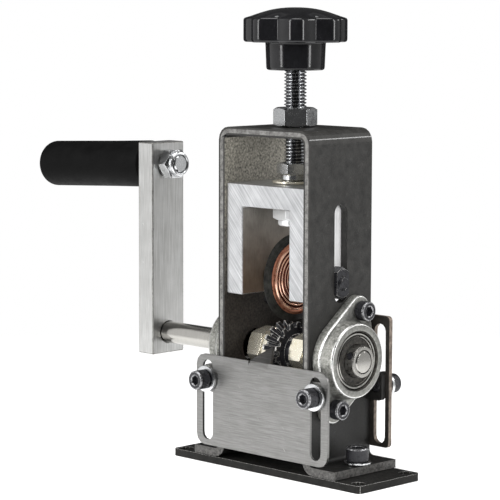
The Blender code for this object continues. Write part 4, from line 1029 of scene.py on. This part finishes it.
class STRIPPER_OT_cutter(Step, bpy.types.Operator):
    """Model the ground cutter disc, its bush and the stepped copper rings"""

    bl_idname = "stripper.cutter"
    bl_label = "Cutter"

    def build(self, settings):
        place = Matrix.Translation(middle_of("cutter_axle"))
        radius = span("cutter_disc", "Z") / 2
        disc = spun([(0.0066, 0.0014), (0.0067, 0.0015), (radius - 0.0032, 0.0015), (radius - 0.003, 0.0014),
                     (radius - 0.0001, 0.00012), (radius, 0), (radius - 0.0001, -0.00012),
                     (radius - 0.003, -0.0014), (radius - 0.0032, -0.0015), (0.0067, -0.0015),
                     (0.0066, -0.0014)], 128)
        finished("cutter_disc", disc, place @ facing(1), coats=["ground_blade"], smooth=math.radians(12))
        half = span("cutter_bush", "X") / 2
        bush = spun(rounded([(0.0042, half - 0.0001), (0.0042, half), (0.00625, half), (0.00625, -half),
                             (0.0042, -half), (0.0042, -half + 0.0001)], 0.0004), 96)
        finished("cutter_bush", bush, place @ facing(1), coats=["turned_steel"])
        for side, word in sides:
            self.copper(f"copper_ring_{word}", side)

    def copper(self, node, side):
        ridges = ((0.0126, 0.0010), (0.0113, 0.0015), (0.0101, 0.0020), (0.0090, 0.0024))
        profile = [(0.0066, 0), (0.0163, 0), (0.0163, 0.0002), (0.0160, 0.0004), (0.0148, 0.0005),
                   (0.0146, 0.0003), (0.0144, 0.0005), (0.0141, 0.0008), (0.0138, 0.0009), (0.0135, 0.0007),
                   (0.0132, 0.0001), (0.0128, 0.0001)]
        for outer, level in ridges:
            profile += [(outer, level - 0.0004), (outer - 0.00015, level - 0.0001), (outer - 0.0004, level),
                        (outer - 0.0007, level - 0.0001), (outer - 0.00085, level - 0.0003),
                        (outer - 0.00095, level - 0.0009)]
        profile += [(0.0079, 0.0012), (0.0078, 0.0020), (0.0076, 0.0022), (0.0074, 0.0020),
                    (0.0073, 0.0010), (0.0066, 0.0010)]

        def coat_at(face):
            distance = face.calc_center_median().xy.length
            grooves = any(outer - 0.0013 < distance < outer - 0.00085 for outer, _ in ridges[:-1])
            if distance < 0.00735:
                return "ground_blade"
            if distance < 0.00795:
                return "turned_steel"
            if distance > 0.01465:
                return "turned_copper_band"
            if 0.0126 < distance < 0.0134 or grooves or distance < 0.00815:
                return "copper_groove"
            return "turned_copper"

        coats = ["turned_copper", "turned_steel", "ground_blade", "turned_copper_band", "copper_groove"]
        bm = spun(profile, 128)
        coated(bm, coats, coat_at)
        place = Matrix.Translation((end_of(node, "X", -side), 0, middle_of("cutter_axle").z))
        finished(node, bm, place @ facing(side), coats=coats, smooth=math.radians(50))


class STRIPPER_OT_screw(Step, bpy.types.Operator):
    """Model the threaded adjusting screw, its nuts and the star knob"""

    bl_idname = "stripper.screw"
    bl_label = "Screw and knob"

    def build(self, settings):
        low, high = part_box("adjusting_screw")
        screw = threaded(0.010, settings.thread_pitch, settings.thread_depth_share, low[2], high[2], 0.001,
                         steps=48)
        finished("adjusting_screw", screw, coats=["threaded_zinc"], smooth=math.radians(25))
        height = span("top_nut", "Z")
        finished("top_nut", nut_form(large_nut_flats, height, large_nut_bore),
                 seat("top_nut", "Z", 1, height, settings.top_nut_turn), settings.fine_round,
                 smooth=nut_smooth)
        self.collared_nut(settings)
        place = Matrix.Translation((0, 0, end_of("retaining_nut", "Z", 1)))
        turn = Matrix.Rotation(settings.screw_nut_turn, 4, "Z") @ Matrix.Rotation(math.pi, 4, "X")
        finished("retaining_nut", nut_form(large_nut_flats, 0.0058, large_nut_bore, (0.01496, 0.0027)),
                 place @ turn, settings.fine_round, ["bright_zinc"], nut_smooth)
        self.knob()

    def collared_nut(self, settings):
        flats, collar, foot, bore, total = 0.014, 0.0065, 0.0024, 0.0051, span("screw_nut", "Z")
        circle = flats / 2 * nut_circle_share

        def point_at(row, angle):
            corner = hexagon_radius(flats, angle)
            drop = max(corner - circle, 0) * nut_chamfer_slope
            rows = [(bore, 0.0003), (bore + 0.0003, 0), (collar - 0.0002, 0), (collar, 0.0002),
                    (collar, foot - 0.0001), (min(corner, circle), foot), (corner, foot + drop),
                    (corner, total - drop), (circle, total), (bore + 0.0004, total), (bore, total - 0.0004),
                    (bore, 0.0003)]
            return (*rows[row], angle)

        finished("screw_nut", wrapped(72, 12, point_at),
                 seat("screw_nut", "Z", 1, total, settings.screw_nut_turn), settings.fine_round,
                 smooth=nut_smooth)

    def knob(self):
        radius, valley, lobes = 0.0235, 0.0042, 7
        hub_height, side_height, rise = 0.01225, 0.01075, 0.0045
        turn = math.radians(-45)
        star = [(0.90, 0.0), (0.955, 0.0), (0.98, 0.00025), (0.995, 0.0007), (1.0, 0.0013),
                (1.0, 0.0019), (1.0, side_height * 0.5), (1.0, side_height - 0.0018),
                (1.0, side_height - 0.0012), (0.995, side_height - 0.0007),
                (0.982, side_height - 0.0003), (0.965, side_height - 0.0001), (0.94, side_height + 0.0001)]
        star += [(share, side_height + rise * (1 - (share / 0.94) ** 2.3))
                 for share in (0.88, 0.8, 0.7, 0.6, 0.5, 0.4, 0.3, 0.2, 0.1, 0.0)]
        bottom, top = 0.0129, 0.0134
        hub = [(0.0053, 0.012), (0.0053, 0.0002), (0.0056, 0), (bottom - 0.001, 0),
               (bottom - 0.0006, 0.00012), (bottom - 0.0002, 0.00045), (bottom, 0.001),
               (bottom + 0.00004, 0.0016), (top - 0.00008, hub_height - 0.0012),
               (top - 0.00002, hub_height - 0.0005), (top + 0.0002, hub_height - 0.00015),
               (top + 0.0006, hub_height)]

        def point_at(row, angle):
            if row < len(hub):
                return (*hub[row], angle)
            share, height = star[row - len(hub)]
            wave = (1 + math.cos(lobes * (angle - turn))) / 2
            flat = max(0.94 - share, 0) / 0.94
            depth = valley * ((1 - wave ** 0.75) * (1 - flat) ** 5 + 0.42 * (1 - (1 - flat) ** 5))
            return share * (radius - depth), hub_height + height, angle

        place = Matrix.Translation((0, 0, end_of("star_knob", "Z", -1)))
        finished("star_knob", wrapped(lobes * 36, len(hub) + len(star), point_at), place,
                 smooth=math.radians(45))


class STRIPPER_OT_plates(Step, bpy.types.Operator):
    """Dress the slotted front and rear plates"""

    bl_idname = "stripper.plates"
    bl_label = "Plates"

    def build(self, settings):
        def rear_coat(face):
            return "brown_edge" if abs(face.normal.y) < 0.5 else "dark_plate"

        dressed("front_plate", settings.fine_round, ["plate_steel"])
        dressed("rear_plate", settings.fine_round, ["dark_plate", "brown_edge"], rear_coat)


class STRIPPER_OT_fasteners(Step, bpy.types.Operator):
    """Model the socket screws and washers of the feet, the bearings and the plates"""

    bl_idname = "stripper.fasteners"
    bl_label = "Fasteners"

    def build(self, settings):
        small_socket = (0.004, 0.0028)
        for side, word in sides:
            self.screw(f"foot_bolt_{word}", "Z", 1, 0.006, (0.010, 0.006), (0.005, 0.0035), settings)
            self.washer(f"foot_washer_{word}", "Z", 1, 0.0063, settings)
            for level in ("upper", "lower"):
                self.screw(f"housing_bolt_{word}_{level}", "X", side, 0.005, (0.0087, 0.0052), small_socket,
                           settings)
            for way, end in ((-1, "front"), (1, "rear")):
                self.screw(f"{end}_bolt_{word}", "Y", way, 0.005, (0.0087, 0.006), small_socket, settings)
                self.washer(f"{end}_washer_{word}", "Y", way, 0.0053, settings)

    def screw(self, node, axis, side, diameter, head, socket, settings):
        """A socket screw whose head is worn bright along its rim and round its socket; the bright rim is
        also a painted highlight ring.
        """
        width, height = head

        def coat_at(face):
            centre = face.calc_center_median()
            rim = centre.z > height - 0.0009 and centre.xy.length > width / 2 - 0.0008
            mouth = centre.z > height - 0.0003 and centre.xy.length < socket[0] / 2 + 0.0006
            return "worn_black" if rim or mouth else "black_steel"

        coats = ["black_steel", "worn_black"]
        bm = screw_form(diameter, span(node, axis) - height, head, socket, settings)
        coated(bm, coats, coat_at)
        finished(node, bm, seat(node, axis, side, height), coats=coats)

    def washer(self, node, axis, side, bore, settings):
        thick, outer = span(node, axis), 0.006
        ring = ring_form(bore / 2, outer, thick, 0.00025, settings.turned_steps)
        finished(node, ring, seat(node, axis, side, thick))


def seen_as_background(tree):
    """A value that is one for rays that show the background: straight, mirrored or through glass."""
    path = tree.nodes.new("ShaderNodeLightPath")
    either = maths(tree, "MAXIMUM", path.outputs["Is Camera Ray"], path.outputs["Is Glossy Ray"])
    return maths(tree, "MAXIMUM", either, path.outputs["Is Transmission Ray"])


class STRIPPER_OT_stage(bpy.types.Operator):
    """Make the pale floor, the soft studio lamps, the cards and the camera"""

    bl_idname = "stripper.stage"
    bl_label = "Stage"

    def execute(self, context):
        settings = context.scene.stripper_stage
        self.floor(settings)
        self.world(settings)
        self.lamp("key_lamp", settings.key_power, (-0.55, -1.35, 0.75), 0.9)
        self.lamp("right_lamp", settings.rim_power, (1.5, 0.1, 0.55), 0.8)
        self.lamp("front_lamp", settings.front_power, (1.0, -1.0, 0.45), 0.5)
        height, middle, edge = settings.ceiling_height, settings.overhead_radius, settings.card_distance
        self.glowing("overhead_card", spun([(0, height), (middle, height)], 48, closed=False),
                     settings.overhead_strength)
        self.glowing("ceiling_card", spun([(middle, height), (edge, height)], 48, closed=False),
                     settings.ceiling_strength)
        self.lamp("top_lamp", settings.top_power, (0.1, -0.1, 1.4), 0.9)
        dark, strip, width = settings.dark_half_angle, settings.strip_angle, settings.strip_width / 2
        back = settings.back_half_angle
        low, high = settings.card_reach
        self.card("dark_card", -dark, dark, low, high, settings.dark_strength, settings)
        self.card("back_card", math.pi - back, math.pi + back, low, high, settings.dark_strength, settings)
        self.card("left_strip", -strip - width, -strip + width, 0, high, settings.strip_strength, settings)
        self.card("right_strip", strip - width, strip + width, 0, high, settings.strip_strength, settings)
        self.card("grey_card", strip + 2 * width, strip + 2 * width + settings.grey_angle, low, high,
                  settings.grey_strength, settings)
        bend = settings.bend_angle
        self.card("bend_strip", bend - settings.bend_half_angle, bend + settings.bend_half_angle,
                  *settings.bend_reach, settings.bend_strength, settings, nearer=0.96)
        self.camera(settings)
        context.scene.view_settings.view_transform = "Standard"
        return {"FINISHED"}

    def floor(self, settings):
        bm = bmesh.new()
        bmesh.ops.create_grid(bm, x_segments=1, y_segments=1, size=settings.floor_size / 2)
        floor = linked("floor", mesh_of(bm, "floor"))
        material, tree, output = new_material("pale floor")
        paint = tree.nodes.new("ShaderNodeBsdfDiffuse")
        paint.inputs["Color"].default_value = (*settings.floor_colour, 1)
        glow = tree.nodes.new("ShaderNodeEmission")
        glow.inputs["Strength"].default_value = settings.floor_glow
        lit = tree.nodes.new("ShaderNodeAddShader")
        tree.links.new(paint.outputs[0], lit.inputs[0])
        tree.links.new(glow.outputs[0], lit.inputs[1])
        place = tree.nodes.new("ShaderNodeTexCoord").outputs["Object"]
        distance = tree.nodes.new("ShaderNodeVectorMath")
        distance.operation = "LENGTH"
        tree.links.new(place, distance.inputs[0])
        fade = tree.nodes.new("ShaderNodeMixShader")
        tree.links.new(spread(tree, distance.outputs["Value"], *settings.floor_fade), fade.inputs[0])
        tree.links.new(lit.outputs[0], fade.inputs[1])
        tree.links.new(tree.nodes.new("ShaderNodeBsdfTransparent").outputs[0], fade.inputs[2])
        tree.links.new(fade.outputs[0], output.inputs["Surface"])
        floor.data.materials.append(material)

    def world(self, settings):
        world = bpy.data.worlds.new("studio")
        bpy.context.scene.world = world
        world.use_nodes = True
        tree = world.node_tree
        background = tree.nodes["Background"]
        strength = tree.nodes.new("ShaderNodeMix")
        strength.inputs["A"].default_value = settings.fill_strength
        strength.inputs["B"].default_value = 1.0
        tree.links.new(seen_as_background(tree), strength.inputs["Factor"])
        tree.links.new(strength.outputs["Result"], background.inputs["Strength"])
        background.inputs["Color"].default_value = (1, 1, 1, 1)

    def lamp(self, name, power, place, size):
        light = bpy.data.lights.new(name, "AREA")
        light.energy = power
        light.size = size
        lamp = linked(name, light)
        lamp.location = place
        middle = (Vector(cad_box[0]) + Vector(cad_box[1])) / 2
        lamp.rotation_euler = (middle - Vector(place)).to_track_quat("-Z", "Y").to_euler()
        lamp.visible_glossy = False

    def glowing(self, name, bm, strength):
        """A stage object with a glow that only shiny faces see."""
        card = linked(name, mesh_of(bm, name))
        material, tree, output = new_material(name)
        glow = tree.nodes.new("ShaderNodeEmission")
        glow.inputs["Strength"].default_value = strength
        tree.links.new(glow.outputs[0], output.inputs["Surface"])
        card.data.materials.append(material)
        card.visible_camera = False
        card.visible_diffuse = False
        card.visible_shadow = False
        card.visible_transmission = False

    def card(self, name, start, end, low, high, strength, settings, nearer=1.0):
        """A bent card that only shiny faces see, between two angles from the camera's side."""
        distance = settings.card_distance * nearer
        facing_camera = math.atan2(settings.camera_place[1], settings.camera_place[0])
        bm = bmesh.new()
        bmesh.ops.create_grid(bm, x_segments=16, y_segments=1, size=1)
        for vert in bm.verts:
            angle = facing_camera + start + (end - start) * (vert.co.x + 1) / 2
            height = low + (high - low) * (vert.co.y + 1) / 2
            vert.co = (distance * math.cos(angle), distance * math.sin(angle), height)
        self.glowing(name, bm, strength)

    def camera(self, settings):
        data = bpy.data.cameras.new("camera")
        data.sensor_width = 36
        data.lens = settings.camera_lens
        camera = linked("camera", data)
        camera.matrix_world = (Matrix.Translation(settings.camera_place)
                               @ Matrix.Rotation(settings.camera_heading, 4, "Z")
                               @ Matrix.Rotation(math.pi / 2 - settings.camera_pitch, 4, "X")
                               @ Matrix.Rotation(settings.camera_roll, 4, "Z"))
        bpy.context.scene.camera = camera


steps = (STRIPPER_OT_finishes, STRIPPER_OT_frame, STRIPPER_OT_bearings, STRIPPER_OT_drive,
         STRIPPER_OT_crank, STRIPPER_OT_grip, STRIPPER_OT_carriage, STRIPPER_OT_cutter,
         STRIPPER_OT_screw, STRIPPER_OT_plates, STRIPPER_OT_fasteners, STRIPPER_OT_stage)


class STRIPPER_PT_panel(bpy.types.Panel):
    """Lists the steps of the machine's finish."""

    bl_label = "Cable Stripping Machine"
    bl_idname = "STRIPPER_PT_panel"
    bl_space_type = "VIEW_3D"
    bl_region_type = "UI"
    bl_category = "Stripper"

    def draw(self, context):
        for step in steps:
            self.layout.operator(step.bl_idname)


classes = (StageSettings, ShapeSettings, FinishSettings, *steps, STRIPPER_PT_panel)


def register():
    for each in classes:
        bpy.utils.register_class(each)
    bpy.types.Scene.stripper_stage = PointerProperty(type=StageSettings)
    bpy.types.Scene.stripper_shapes = PointerProperty(type=ShapeSettings)
    bpy.types.Scene.stripper_finishes = CollectionProperty(type=FinishSettings)


def unregister():
    del bpy.types.Scene.stripper_finishes
    del bpy.types.Scene.stripper_shapes
    del bpy.types.Scene.stripper_stage
    for each in reversed(classes):
        bpy.utils.unregister_class(each)


def main():
    """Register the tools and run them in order."""
    register()
    bpy.ops.stripper.finishes()
    bpy.ops.stripper.frame()
    bpy.ops.stripper.bearings()
    bpy.ops.stripper.drive()
    bpy.ops.stripper.crank()
    bpy.ops.stripper.grip()
    bpy.ops.stripper.carriage()
    bpy.ops.stripper.cutter()
    bpy.ops.stripper.screw()
    bpy.ops.stripper.plates()
    bpy.ops.stripper.fasteners()
    bpy.ops.stripper.stage()


if __name__ == "__main__":
    main()
